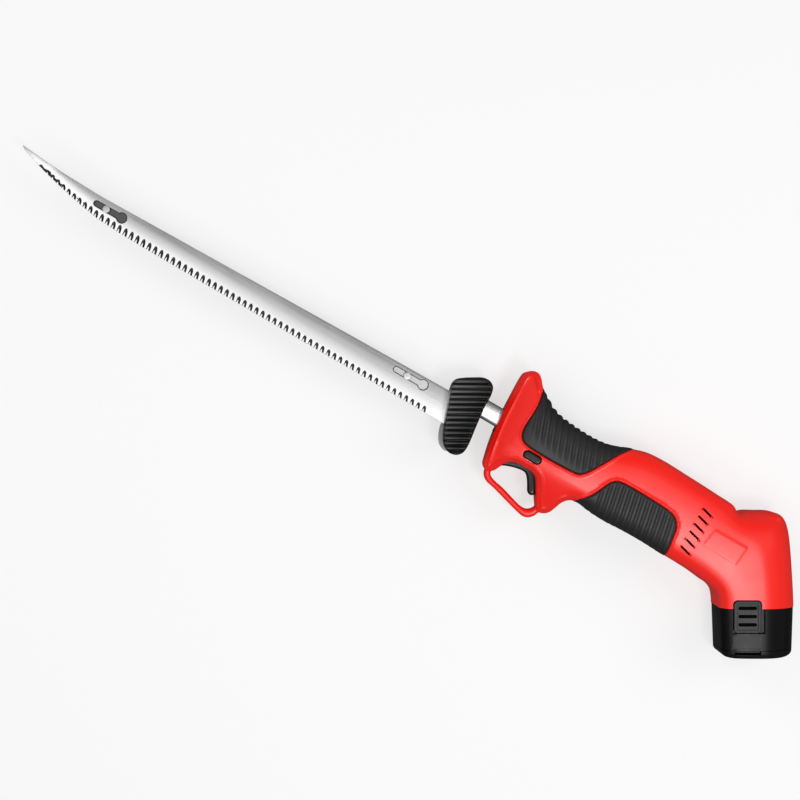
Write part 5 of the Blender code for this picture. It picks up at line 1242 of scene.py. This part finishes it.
def skin_patch(name, grip, x_range, inner_y):
    """The body's skin between two x, from its edge to a straight line inside, raised for a pad."""
    edge = BODY.loop(PAD_SPACING, -PAD_RISE)
    top = inner_y < 0
    wanted = (edge[:, 0] > x_range[0]) & (edge[:, 0] < x_range[1])
    wanted &= (edge[:, 1] > PAD_SIDE) if top else (edge[:, 1] < -PAD_SIDE)
    first = next(i for i in range(len(edge)) if wanted[i] and not wanted[i - 1])
    run = np.roll(edge, -first, axis=0)[:wanted.sum()]
    boundary = np.vstack([run, [(run[-1, 0], inner_y), (run[0, 0], inner_y)]])
    area = Outline(boundary, smooth=False)
    rows = []
    for angle in EDGE_STEPS:
        row = BODY.loop(PAD_SPACING, GRIP_ROUND * (1 - math.cos(math.radians(angle))) - PAD_RISE)
        rows.append(row[area.distance(row)[0] > PAD_CLEAR[0]])
    for inset in PAD_INSETS:
        row = grip.loop(PAD_SPACING, inset * MM)
        rows.append(row[area.distance(row)[0] > PAD_CLEAR[1]])
    flat, faces = tiled(boundary, np.vstack(rows), PAD_SPACING)
    heights = side_height(flat, -PAD_RISE)
    heights -= PAD_ROLL_DROP * (1 - smooth_step(grip.distance(flat)[0], 0, PAD_ROLL)) ** 2
    return closed_field(name, boundary, flat, faces, heights, PAD_WALL, -PAST)


def make_pad(name, grip, x_range, inner_y, lean, start, amount):
    left = skin_patch(name, grip, x_range, inner_y)
    ribbed(left, amount, (1, math.tan(lean), 0), start, RIB_PITCH, RIB_SHARE, RIB_DEPTH, RUBBER)
    shared(left, prism("pad_outline", grip.loop(FINE), SEAM_HALF, CUTTER_TOP))
    cut(left, make_inset_body("pad_floor", GRIP_DEPTH, BED_SPACING, INSIDE_FLOOR))
    right = copied(left, "right", mirror=True)
    dress_pair(f"{name}_pad", left, right, "handle", RUBBER, f"{name}_grip", PAD_CREASE)


def rib_amount(p, grip, lean, first):
    """How far along the ribs a place is, and how much of a groove the pad's rim and first rib leave there."""
    phase = p[:, 0] + math.tan(lean) * p[:, 1]
    rim = smooth_step(grip.distance(p)[0], *RIB_MARGIN)
    return phase, rim * smooth_step(phase, first, first + FIRST_RIB_WIDTH)


def upper_amount(p):
    """Ribs from the back of the handle down its side; they fade towards the front corner of the pad."""
    phase, amount = rib_amount(p, UPPER_GRIP, UPPER_LEAN, UPPER_RIB_FIRST)
    fade_at = FADE_HEIGHT - FADE_SLOPE * (phase - UPPER_RIB_START)
    return amount * smooth_step(p[:, 1], fade_at - FADE_BELOW, fade_at + FADE_ABOVE)


def lower_amount(p):
    return rib_amount(p, LOWER_GRIP, LOWER_LEAN, LOWER_RIB_FIRST)[1]


make_pad("upper", UPPER_GRIP, *UPPER_PATCH, UPPER_LEAN, UPPER_RIB_START, upper_amount)
make_pad("lower", LOWER_GRIP, *LOWER_PATCH, LOWER_LEAN, LOWER_RIB_START, lower_amount)

# %% [markdown]
# The trigger is a hooked black lever that turns on a pin inside the shells. The lock is a bolt that crosses
# the handle above it. Both are smooth mouldings with a rolled edge, the same on both sides.

# %% Trigger and lock
PIN_DIAMETER = 2.5 * MM
TRIGGER_ROUND = 1.6 * MM
SPRING_ROOM = ((-10.0, -2.4, -1.6), (2.6, 10.0, 1.6))
LOCK_ROUND = 0.9 * MM
LOCK_SPACING = 0.4 * MM


def make_trigger():
    trigger = rounded_plate("trigger_piece", TRIGGER, 0, TRIGGER_HALF_WIDTH, TRIGGER_ROUND, FINE)
    joined(trigger, copied(trigger, "other_side", mirror=True))
    x, y = TRIGGER_PIVOT
    cut(trigger, bore(x, y, PIN_DIAMETER / 2 + RUN_GAP / 2, CUTTER_FLOOR, -CUTTER_FLOOR, 32))
    cut(trigger, box_tool("spring_room", *millimetres(SPRING_ROOM), Matrix.Translation((x, y, 0))))
    dress(trigger, "trigger_lever", BLACK_GLOSS, ["trigger"])


def make_lock():
    low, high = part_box("lock_button")
    shape = Outline(slot_points(LOCK_CENTRE, *LOCK_SIZE, 0, 12), smooth=False)
    left = rounded_plate("lock_piece", shape, 0, high.z - TO_FRAME.z, LOCK_ROUND, LOCK_SPACING)
    right = rounded_plate("lock_right", shape, 0, TO_FRAME.z - low.z, LOCK_ROUND, LOCK_SPACING)
    joined(left, mirrored(right))
    dress(left, "lock_bolt", BLACK_GLOSS, ["lock_button"])


make_trigger()
make_lock()

# %% [markdown]
# The blades are ground from strip: thicker at the back, thinner at the teeth. Two of them run side by side,
# and the teeth of one cut against those of the other. The gullets between the teeth are ground in from
# outside, which leaves a slanted facet on each, and a scalloped edge.

# %% The blades
BLADE_GAP = 0.15 * MM
BLADE_THICKNESS = 1.2 * MM
BLADE_TOP = BLADE_GAP + BLADE_THICKNESS
BLADE_ROUND = 0.12 * MM
BLADE_CREASE = 12
SPINE_KEYS = (
    (-338.5, -1.2), (-330, -2), (-320, -2.9), (-305, -3.8), (-280, -4.5), (-250, -4), (-200, -3.2),
    (-100, -1.7), (-40, -1), (-12, -1),
)
EDGE_KEYS = (
    (-318, -8.9), (-308, -11.3), (-298, -13.7), (-288, -15.7), (-275, -17.7), (-260, -18.6), (-240, -19),
    (-200, -19.4), (-150, -19.7), (-40, -20.2),
)
DEPTH_KEYS = (
    (-318, 2.2), (-300, 2.6), (-275, 3.6), (-250, 4.3), (-150, 3.5), (-40, 3.1),
)
TIP_KEYS = (
    (-337, -2.6), (-335, -3.5), (-330, -5), (-325, -6.7), (-321.5, -7.9),
)
HEEL_KEYS = ((-26, -20.5), (-24, -16.5), (-12, -14.5))
POINT_LIMITS = (-338.0 * MM, -300.0 * MM)
TOOTH_START = -38.2 * MM
TOOTH_END = -318.0 * MM
TOOTH_PITCH = 4.3 * MM
GULLET_LEAD = 2.5 * MM
GULLET_DROP = 0.02 * MM
GULLET_FLOOR = -3.0
GULLET_INNER = ((-4.05, 0.0), (-4.0, 0.3), (-3.85, 0.5), (-3.6, 0.55), (-3.35, 0.48), (-2.7, 0.0))
GULLET_OUTER = ((-4.5, 0.0), (-4.6, 0.85), (-4.25, 1.12), (-3.5, 1.20), (-2.5, 0.98), (-0.8, 0.0))
GULLET_LEVELS = ((-3.0, GULLET_INNER), (0.18, GULLET_INNER), (0.8, GULLET_OUTER), (4.0, GULLET_OUTER))
FACET_SLOPES = (0.1, 0.985)
FACET_DROP = 3.0 * MM
FLAT_SLOPE = 0.9
INNER_SLOPE = 0.99
STEP_REACH = 0.02 * MM
GRIND = 0.80 * MM
TIP_GRIND = 0.15 * MM
KEYHOLE_EDGE = 0.45 * MM
KEYHOLE_STEP = BLADE_GAP + 0.55 * BLADE_THICKNESS
SLOTS = millimetres(((-273.8, -9.8, -7.8, 11.0), (-60.7, -6.0, -8.8, 11.2)))
SLOT_WIDTH = 3.3 * MM
KEYHOLE_DIAMETER = 6.2 * MM
KEYHOLE_REACH = (20 * MM, 4 * MM)
KEYHOLE_LOW = -2.0 * MM
KEYHOLE_HIGH = 4.0 * MM
RIVET_DIAMETER = 2.6 * MM
RIVET_PLAY = 0.1 * MM
RIVET_HEAD = 2.2 * MM
RIVET_DIMPLE = 0.44 * MM
RIVET_SEAT = BLADE_TOP + 0.15 * MM
RIVET_RIM = RIVET_SEAT + 0.25 * MM
DIMPLE_FLOOR = RIVET_SEAT + 0.15 * MM
RIVET_DOME = 0.18 * MM
DOME_SHARES = (0.98, 0.93, 0.85, 0.72, 0.55, 0.35, 0.26)


def line_at(keys, x):
    table = np.array(keys) * MM
    return np.interp(x, table[:, 0], table[:, 1])


def blade_surface(points, heights):
    """The flat ground side: full at the back, thinner towards the teeth and the point."""
    back = line_at(SPINE_KEYS, points[:, 0])
    edge = line_at(EDGE_KEYS, points[:, 0])
    share = np.clip((back - points[:, 1]) / (back - edge), 0, 1)
    tip = smooth_step(points[:, 0], *POINT_LIMITS)
    return heights - GRIND * share ** 2 - TIP_GRIND * (1 - tip) * share


def gullet_cutter():
    """Gullets as slanted rounded wedges, wider on the outer face, one for each tooth."""
    rings = []
    for z, shape in GULLET_LEVELS:
        whole = ((shape[0][0], GULLET_FLOOR), *shape, (shape[-1][0], GULLET_FLOOR))
        rings.append([(x * MM, y * MM, z * MM) for x, y in whole])
    count = int((TOOTH_START - TOOTH_END) / TOOTH_PITCH) + 1
    places = [TOOTH_START - i * TOOTH_PITCH for i in range(count)]
    spots = [(x, line_at(EDGE_KEYS, x - GULLET_LEAD) - GULLET_DROP, 0) for x in places]
    return placed("gullets", loft("gullet", rings), spots, [line_at(DEPTH_KEYS, x) / MM for x in places])


def keyhole_cutter(x, y, back, forth):
    start, end = x + back, x + forth
    radius = KEYHOLE_DIAMETER / 2
    cutter = bore(end, y, radius, KEYHOLE_LOW, KEYHOLE_HIGH, 40)
    for grow, floor in ((0, KEYHOLE_LOW), (KEYHOLE_EDGE, KEYHOLE_STEP)):
        top = KEYHOLE_HIGH + grow
        length = end - start + SLOT_WIDTH / 2 + 2 * grow
        slot = slot_points(((start + end) / 2, y), length, SLOT_WIDTH + 2 * grow, 0, 12)
        joined(cutter, prism("slot", slot, floor, top))
        joined(cutter, bore(end, y, radius + grow, floor, top, 40))
    return cutter


def refinished(obj, material, wanted):
    """Gives the faces that the function picks a second finish."""
    obj.data.materials.append(material)
    index = len(obj.data.materials) - 1
    for face in obj.data.polygons:
        if wanted(face.normal, face.center - TO_FRAME):
            face.material_index = index


def ground(normal, place):
    """The faces painted dark as shade: the facets of the gullets, and the steps and walls of the keyholes."""
    low, high = FACET_SLOPES
    facet = low < normal.z < high and place.y < line_at(SPINE_KEYS, place.x) - FACET_DROP
    far, wide = KEYHOLE_REACH
    hole = any(abs(place.x - slot[0]) < far and abs(place.y - slot[1]) < wide for slot in SLOTS)
    return facet or (hole and (abs(normal.z) < FLAT_SLOPE or abs(place.z - KEYHOLE_STEP) < STEP_REACH))


def make_rivet(name, x, y):
    shank = RIVET_DIAMETER / 2
    dome = [(RIVET_RIM + RIVET_DOME * (1 - share ** 2) ** 0.5, share * RIVET_HEAD) for share in DOME_SHARES]
    profile = [(-BLADE_TOP, shank), (RIVET_SEAT, shank), (RIVET_SEAT, RIVET_HEAD), (RIVET_RIM, RIVET_HEAD)]
    profile += [*dome, (DIMPLE_FLOOR, RIVET_DIMPLE)]
    rivet = turned(f"{name}_piece", profile, 40, Matrix.Translation((x, y, 0)))
    dress(rivet, "right_blade", RIVET_STEEL, [name], sharp=60)


def make_blades():
    outline = Outline(millimetres([*SPINE_KEYS[::-1], *TIP_KEYS, *EDGE_KEYS, *HEEL_KEYS]), smooth=False)
    sizes = (BLADE_GAP, BLADE_TOP, BLADE_ROUND, LINE_SPACING)
    left = rounded_plate("left", outline, *sizes, height=blade_surface)
    cut(left, gullet_cutter())
    right = copied(left, "right", mirror=True)
    for slot in SLOTS:
        cut(left, keyhole_cutter(*slot))
        cut(right, bore(*slot[:2], RIVET_DIAMETER / 2 + RIVET_PLAY, -KEYHOLE_HIGH, -KEYHOLE_LOW, 24))
    dress_pair("blade_piece", left, right, "{}_blade", BLADE_STEEL, "blade", BLADE_CREASE)
    # Painted shade on the gullets' facets and in the keyholes.
    refinished(left, SHADE_STEEL, ground)
    # The inner face: duller steel, with painted shade towards the point.
    refinished(right, INNER_STEEL_AND_SHADE, lambda normal, place: normal.z > INNER_SLOPE)
    for name, slot in zip(("front_rivet", "rear_rivet"), SLOTS):
        make_rivet(name, *slot[:2])


make_blades()

# %% [markdown]
# Each blade carries a black collar, moulded round its tang. Its ribs give the thumb a hold when the blades
# are changed. The bars of the drive run into pockets in it and are held there by a leaf spring.

# %% The collars
COLLAR_KEYS = (
    (-34.6, 4.2, 2.2), (-33.6, -1.3, 1.9), (-31, -8.3, 1.9), (-27.8, -17.3, 1.9), (-23.1, -27.6, 1.9),
    (-20.9, -30.8, 1.7), (-18, -33.2, 1.4), (-14.6, -34.2, 1.2), (-10.4, -33.2, 1.2), (-7.6, -30.2, 1.2),
    (-6.9, -26.3, 1.2), (-7.3, -20.3, 1.2), (-8.4, -12.3, 1.2), (-9.4, -3.3, 1.2), (-9.9, 5, 1.2),
    (-10.2, 10, 1.3), (-11.6, 14.4, 1.6), (-15, 16.8, 2.4), (-19.4, 16.6, 3), (-25, 13.6, 3.4),
    (-30.4, 10.2, 3.2), (-33.6, 7.4, 2.8),
)
TAB_KEYS = (
    (-24, -17.5), (-27.4, -20.2), (-27.6, -22.2), (-26, -27.2), (-24.1, -30.6), (-21.4, -33.4),
    (-17.5, -34.6), (-15, -33), (-15, -20),
)
TAB_LEVELS = (2.0 * MM, 9.0 * MM)
TAB_ROUND = 1.0 * MM
COLLAR_DROP = 4.0
COLLAR_BASE = 1.65 * MM
COLLAR_TOP = 14.0 * MM
COLLAR_RIB_START = 1.2 * MM
COLLAR_RIB_PITCH = 3.15 * MM
COLLAR_RIB_SHARE = 0.38
COLLAR_RIB_DEPTH = 1.1 * MM
COLLAR_ACROSS = (-math.sin(CAMERA_TURN), math.cos(CAMERA_TURN), 0)
COLLAR_ROLL = 2.4
COLLAR_FLAT = (12.8 * MM, 13.7 * MM)
COLLAR_FADE = (-0.5 * MM, 0.6 * MM)
COLLAR_INSIDE = 2.4 * MM
COLLAR_ROWS = (0.15, 0.4, 0.7, 1.0, 1.4, 1.8, 2.2)
COLLAR_WALL = ((0.66, 0), (0.33, 0), (0, 0))
CATCH_WIDTH = 5.0 * MM
CATCH_HEIGHT = 1.6 * MM
CATCH_START = 4.0 * MM
POCKET_END = 10.0 * MM
FACE_REACH = 0.05 * MM


def make_collars():
    outline = Outline(millimetres(COLLAR_KEYS))
    grid = hex_points(outline.line[:, :2].min(0), outline.line[:, :2].max(0), FINE)
    rows = [grid[outline.distance(grid)[0] > COLLAR_INSIDE]]
    rows += [outline.loop(FINE, inset * MM) for inset in COLLAR_ROWS]
    boundary = outline.loop(FINE)
    flat, faces = tiled(boundary, np.vstack(rows), 2 * FINE)
    distance, width = outline.distance(flat)
    turn = np.clip(1 - distance / width, 0, 1)
    draft = COLLAR_TOP - COLLAR_DROP * width * (1 - (1 - turn ** COLLAR_ROLL) ** 0.5)
    left = closed_field("left", boundary, flat, faces, draft, COLLAR_WALL, COLLAR_BASE)

    def amount(p):
        """Ribs on the flat part only; the carried value of the outline is the width of its leaning wall."""
        flat_part = smooth_step(p[:, 2], *COLLAR_FLAT)
        distance, width = outline.distance(p)
        return flat_part * smooth_step(distance - width, *COLLAR_FADE)

    ribs = (COLLAR_ACROSS, COLLAR_RIB_START, COLLAR_RIB_PITCH)
    # Painted shade darkens the grooves between the collar's ribs.
    banded(COLLAR_BLACK_AND_PAINTED_LIGHT, *ribs)
    ribbed(left, amount, *ribs, COLLAR_RIB_SHARE, COLLAR_RIB_DEPTH, COLLAR_BLACK_AND_PAINTED_LIGHT)
    pocket = BAR_HEIGHT / 2 + FIT_GAP
    side = BAR_SIDE + FIT_GAP
    cut(left, box_tool("bar_pocket", (BAR_FRONT - FIT_GAP, -pocket, 0), (POCKET_END, pocket, side)))
    half = CATCH_WIDTH / 2 + FIT_GAP
    low = (BAR_FRONT + CATCH_START, -half, 0)
    cut(left, box_tool("catch_pocket", low, (POCKET_END, half, side + CATCH_HEIGHT)))
    tab = rounded_plate("tab", Outline(millimetres(TAB_KEYS)), *TAB_LEVELS, TAB_ROUND, FINE)
    right = mirrored(joined(copied(left, "right"), tab))
    dress_pair("collar_piece", left, right, "{}_blade", COLLAR_BLACK_AND_PAINTED_LIGHT, "collar", PAD_CREASE)
    refinished(right, COLLAR_TAB, lambda normal, place: abs(place.z + TAB_LEVELS[0]) < FACE_REACH)


make_collars()
print("pieces:", len(FINISHED))

# %% [markdown]
# The battery carries on the neck's own section: the same crowned sides, slightly tapered towards its foot.
# A closed loop of that section is lofted through levels. The catch is a plate with a raised frame and three
# grooves, and the field below it is a bare, shallow panel.

# %% The battery pack
PACK_HEIGHT = 30.2 * MM
PACK_FLOOR = -25.2 * MM
PACK_TOP_SHARE = 0.985
PACK_FOOT_SHARE = 0.94
PACK_FOOT_ROUND = (4.6 * MM, 1.8 * MM)
PACK_FOOT_RISE = 3.6 * MM
TOWER_WALL = 0.9 * MM
TOWER_ROUNDS = (0.6, 0.9)
TOWER_FOOT = -4.0 * MM
TOWER_TOP = 40.0 * MM
CELL_DIAMETER = 18.2 * MM
CELL_SPACING = 18.5 * MM
CELL_PAIR = -8.9 * MM
CELL_PLAY = 0.15 * MM
LATCH_SLOT = 2.4 * MM
LATCH_THICKNESS = 2.0 * MM
LATCH_TRAVEL = 0.9 * MM
LATCH_CORNER = 2.4 * MM
LATCH_ROUND = 0.5 * MM
LATCH_FRAME = 1.8 * MM
LATCH_FIELD = 0.5 * MM
LATCH_STEP = 0.3 * MM
LATCH_STEEP = 0.5
LATCH_GROOVE = (11.4 * MM, 2.1 * MM)
LATCH_GROOVE_START = 4.5 * MM
LATCH_GROOVE_PITCH = 5.0 * MM
LATCH_GROOVE_DEPTH = 0.9 * MM
PANEL_S = (-24.0 * MM, -16.0 * MM)
PANEL_DEPTH = 0.45 * MM
PANEL_MARGIN = 0.6 * MM
PANEL_ROUND = 0.8 * MM
PANEL_LEAST = 19.5 * MM
PULL_PLACE = -26.9 * MM
PULL_SIZE = (16.0 * MM, 1.7 * MM)
PULL_DEPTH = 2.4 * MM
FOOT_LEVELS = 7
SHELL_LEVELS = 6
SECTION_INSET = 0.02 * MM
PANEL_NEAR = 15.0 * MM
SIDE_FAR = 30.0 * MM
HAIR = 0.01 * MM


def pack_share(s):
    return PACK_FOOT_SHARE + (PACK_TOP_SHARE - PACK_FOOT_SHARE) * (s + PACK_HEIGHT) / PACK_HEIGHT


def neck_section(steps=72):
    """The neck's section at the pack, as (t, z) from its front edge over the left side to its back edge."""
    places = [-math.cos(math.pi * k / steps) * (NECK_HALF_DEPTH - SECTION_INSET) for k in range(steps + 1)]
    points = np.array([pack_point(t, 0).xy for t in places])
    return list(zip(places, side_height(points)))


def tower_section(grow, steps=12):
    """The rounded section round the three cells, as (t, z) like the neck's."""
    reach = CELL_DIAMETER / 2 + TOWER_WALL + grow
    half = CELL_SPACING / 2 + reach
    third = CELL_PAIR + CELL_SPACING * math.sqrt(3) / 2
    ends = ((CELL_PAIR - reach, TOWER_ROUNDS[0] * reach), (third + reach, -TOWER_ROUNDS[1] * half))
    points = []
    for (end, corner), order in zip(ends, (range(steps + 1), range(steps, -1, -1))):
        for k in order:
            a = math.pi / 2 * k / steps
            points.append((end + corner * (1 - math.cos(a)), half - abs(corner) * (1 - math.sin(a))))
    return points


def pack_loft(name, levels):
    """A closed solid through levels of (s, half section, scale of t, scale of z)."""
    rings = []
    for s, section, t_scale, z_scale in levels:
        ring = [(t * t_scale, s, z * z_scale) for t, z in section]
        ring += [(t, s, -z) for t, s, z in reversed(ring)]
        rings.append([PACK_FRAME @ Vector(p) for p in ring])
    return loft(name, rings)


def straight(name, section, low, high):
    return pack_loft(name, [(s, section, 1, 1) for s in (low, high)])


def outward(side, near):
    """The range of z from a depth in one side of the pack to well outside it."""
    return sorted((side * near, side * SIDE_FAR))


def over(place, low, high):
    """Whether a place lies over a rectangle of the pack's frame."""
    t, s, _ = PACK_FRAME.inverted() @ place
    return low[0] < t < high[0] and low[1] < s < high[1]


def make_pack_shell(section):
    top = -FIT_GAP / 2
    rise = (top - PACK_FLOOR) / SHELL_LEVELS
    levels = [PACK_FLOOR + k * rise for k in range(SHELL_LEVELS + 1)]
    shell = pack_loft("pack_shell", [(s, section, pack_share(s), 1.0) for s in levels])
    joined(shell, straight("tower", tower_section(0), TOWER_FOOT, TOWER_TOP))
    room = tower_section(CELL_PLAY - TOWER_WALL)
    cut(shell, straight("room", room, PACK_FLOOR - PAST, TOWER_TOP + PAST))
    reach = LATCH_HALF + PANEL_MARGIN
    low, high = ((LATCH_OFFSET + side * reach, s) for side, s in zip((-1, 1), PANEL_S))
    sunk = 1 - PANEL_DEPTH / BODY_HALF_WIDTH
    floor = [(s, section, pack_share(s), sunk) for s in (low[1] - PAST, top)]
    for side in (1, -1):
        z = outward(side, BODY_HALF_WIDTH - LATCH_THICKNESS - LATCH_TRAVEL - FIT_GAP)
        near = (LATCH_OFFSET - LATCH_HALF - RUN_GAP, LATCH_BOTTOM - RUN_GAP, z[0])
        cut(shell, pack_box("latch_room", near, (LATCH_OFFSET + LATCH_HALF + LATCH_SLOT, PAST, z[1])))
        panel = prism("panel", pack_rectangle(low, high, PANEL_ROUND), *outward(side, PANEL_NEAR))
        cut(panel, pack_loft("panel_floor", floor))
        cut(shell, panel)
    dress(shell, "battery", BLACK_CASE, ["battery_shell"])
    refinished(shell, PANEL_GREY, lambda normal, place: (
        abs(normal.z) > FLAT_SLOPE and abs(place.z) > PANEL_LEAST and over(place, low, high)))


def make_pack_base(section):
    levels = []
    for k in range(FOOT_LEVELS + 1):
        a = math.pi / 2 * k / FOOT_LEVELS
        s = -PACK_HEIGHT + PACK_FOOT_RISE * (1 - math.cos(a))
        depth, width = (reach * (1 - math.sin(a)) for reach in PACK_FOOT_ROUND)
        scales = (pack_share(s) * (1 - depth / NECK_HALF_DEPTH), 1 - width / BODY_HALF_WIDTH)
        levels.append((s, section, *scales))
    levels.append((PACK_FLOOR - FIT_GAP, section, pack_share(PACK_FLOOR - FIT_GAP), 1.0))
    base = pack_loft("pack_base", levels)
    centre = (LATCH_OFFSET, PULL_PLACE)
    slot = [pack_point(t, s) for t, s in slot_points(centre, *PULL_SIZE)]
    deep = BODY_HALF_WIDTH - PULL_DEPTH
    for side in (1, -1):
        cut(base, prism("pull_slot", slot, *outward(side, deep)))
    dress(base, "battery", BLACK_CASE, ["battery_base"])
    low, high = ([c + side * (size / 2 + HAIR) for c, size in zip(centre, PULL_SIZE)] for side in (-1, 1))
    # Painted shade fills the pull slot's floor and walls.
    refinished(base, SLOT_SHADE, lambda normal, place: over(place, low, high) and abs(place.z) > deep - HAIR)


def make_catches():
    corners = (LATCH_OFFSET - LATCH_HALF, LATCH_BOTTOM), (LATCH_OFFSET + LATCH_HALF, LATCH_TOP)
    outline = Outline(pack_rectangle(*corners, LATCH_CORNER), smooth=False)
    extra = [outline.loop(LINE_SPACING, LATCH_FRAME + d * LATCH_STEP) for d in (-1, 0, 1)]

    def field(points, heights):
        inside = smooth_step(outline.distance(points)[0], LATCH_FRAME, LATCH_FRAME + LATCH_STEP)
        return heights - LATCH_FIELD * inside

    base = BODY_HALF_WIDTH - LATCH_THICKNESS
    left = rounded_plate("left", outline, base, BODY_HALF_WIDTH, LATCH_ROUND, FINE, extra, field)
    floor = BODY_HALF_WIDTH - LATCH_FIELD - LATCH_GROOVE_DEPTH
    groove = prism("groove", slot_points((0, 0), *LATCH_GROOVE), floor, BODY_HALF_WIDTH + 2 * PAST)
    levels = [LATCH_TOP - LATCH_GROOVE_START - i * LATCH_GROOVE_PITCH for i in range(3)]
    cut(left, placed("grooves", groove, [pack_point(LATCH_OFFSET, s) for s in levels], turn=PACK_ANGLE))
    right = copied(left, "right", mirror=True)
    dress_pair("catch", left, right, "{}_latch", GREY_CATCH, "latch_button")
    # Painted shade on the catches' steep walls and in the floors of their grooves.
    for catch in (left, right):
        refinished(catch, SLOT_SHADE, lambda normal, place: (
            abs(normal.z) < LATCH_STEEP or abs(place.z) < floor + FACE_REACH))


NECK_SECTION = neck_section()
make_pack_shell(NECK_SECTION)
make_pack_base(NECK_SECTION)
make_catches()

# %% [markdown]
# The two bars that drive the blades are bright steel with rolled edges where they show. Further in they
# keep the frame's own slotted links. The screws are thread-forming, with a low head and a cross recess, and
# sit at the bottom of their bores in the right shell.

# %% Bars and screws
BAR_GAP = 0.25 * MM
BAR_ROUND = 2.0 * MM
BAR_CROWN = 0.60 * MM
BAR_CREST = 2.5 * MM
BAR_LINK = 20.0 * MM
TANG_ROOM = 1.65 * MM
TANG_END = -8.5 * MM
LINK_OVERLAP = 3.0 * MM
BAR_CUT = 10.0 * MM
SCREW_BITE = 7.0 * MM
SCREW_HEAD_THICKNESS = 1.8 * MM
SCREW_POINT = ((0, 0.2), (1, 0.8), (1.6, 1))
SCREW_CAP = ((0.9, 1), (0.35, 0.88), (0.08, 0.62), (0, 0.3))
RECESS = (1.5 * MM, 0.35 * MM)
RECESS_DEPTH = 1.1 * MM


def make_bars():
    half = BAR_HEIGHT / 2
    corners = ((BAR_FRONT, -half), (BAR_LINK, -half), (BAR_LINK, half), (BAR_FRONT, half))
    outline = Outline(corners, smooth=False)

    def crowned(points, heights):
        return heights - BAR_CROWN * ((points[:, 1] - BAR_CREST) / half) ** 2

    front = rounded_plate("left", outline, BAR_GAP, BAR_SIDE, BAR_ROUND, LINE_SPACING, height=crowned)
    meet = BAR_LINK - LINK_OVERLAP
    cut(front, box_tool("tang_room", (BAR_FRONT - PAST, -BAR_CUT, 0), (TANG_END, BAR_CUT, TANG_ROOM)))
    cut(front, box_tool("bar_end", (meet, -BAR_CUT, -PAST), (BAR_LINK + PAST, BAR_CUT, BAR_CUT)))
    link = cad_copy("drive_bar_left", "link")
    cut(link, box_tool("link_front", (-FAR, -2 * BAR_CUT, -PAST), (meet, 2 * BAR_CUT, BAR_CUT)))
    left = joined(front, link)
    right = copied(left, "right", mirror=True)
    dress_pair("bar", left, right, "{}_drive", BRIGHT_STEEL, "drive_bar")


def make_screws():
    seat = -SCREW_SEAT - FIT_GAP
    head = SCREW_HEAD / 2
    shank = SCREW_DIAMETER / 2
    last = seat - SCREW_HEAD_THICKNESS
    profile = [(SCREW_BITE - back * MM, share * shank) for back, share in SCREW_POINT]
    profile += [(seat, shank), (seat, head)]
    profile += [(last + up * MM, share * head) for up, share in SCREW_CAP]
    screw = turned("screw", profile, 32)
    for x, y in (RECESS, RECESS[::-1]):
        cut(screw, box_tool("recess", (-x, -y, last - PAST), (x, y, last + RECESS_DEPTH)))
    nodes = [f"housing_screw_{i + 1}" for i in range(len(SCREWS))]
    dress(placed("shell_screws", screw, SCREWS), "handle", PLAIN_STEEL, nodes)


make_bars()
make_screws()

# %% [markdown]
# Everything inside keeps the frame's solids and gets a finish of its own: a zinc-plated motor can, dark
# magnets, a nylon wheel, bronze bushes, the shrink sleeves of the cells and the insulation of the leads.

# %% Finishes of the inner pieces
NYLON = plastic("gear_nylon", (0.66, 0.63, 0.54), (0.35, 0.5), 0.01, 0.1, 1500.0)
SLEEVE = plastic("cell_sleeve", (0.03, 0.12, 0.42), (0.25, 0.35), 0.005, 0.15, 900.0)
MAGNET = plastic("magnet", (0.035, 0.034, 0.036), (0.5, 0.7), 0.03, 0.3, 900.0)
PLUNGER_RED = plastic("plunger_red", (0.55, 0.02, 0.015), (0.3, 0.4))
LEAD_RED = plastic("lead_red", (0.60, 0.012, 0.010), (0.3, 0.4))
LEAD_BLACK = plastic("lead_black", (0.015, 0.015, 0.016), (0.3, 0.4))
LEAD_BLUE = plastic("lead_blue", (0.02, 0.08, 0.45), (0.3, 0.4))
BRONZE = steel("bush_bronze", (0.62, 0.38, 0.16), (0.4, 0.55), 0.002, 0.15)
COPPER = steel("rotor_copper", (0.70, 0.30, 0.16), (0.3, 0.5), 0.01, 0.2)
INNER = {
    PLAIN_STEEL: ("motor_can", "gear_frame", "trigger_pin", "trigger_spring"),
    BRIGHT_STEEL: ("worm_shaft", "wheel_axle", "blade_catch_left", "blade_catch_right", "latch_spring_left",
                   "latch_spring_right"),
    BRONZE: ("axle_bush_left", "axle_bush_right", "motor_front_bush"),
    COPPER: ("motor_armature",),
    MAGNET: ("motor_magnet_lower", "motor_magnet_upper"),
    NYLON: ("crank_wheel",),
    SLEEVE: ("battery_cell_1", "battery_cell_2", "battery_cell_3"),
    BLACK_CASE: ("nose_guide", "switch_body", "motor_end_cap", "battery_head", "contact_block"),
    PLUNGER_RED: ("switch_plunger",),
    LEAD_RED: ("lead_feed",),
    LEAD_BLACK: ("lead_switched",),
    LEAD_BLUE: ("lead_motor",),
}


for material, names in INNER.items():
    for name in names:
        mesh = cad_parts[name].data
        mesh.materials.clear()
        mesh.materials.append(material)
print("inner pieces painted:", sum(len(names) for names in INNER.values()))

# %% The count of dressed pieces
print("pieces:", len(FINISHED))
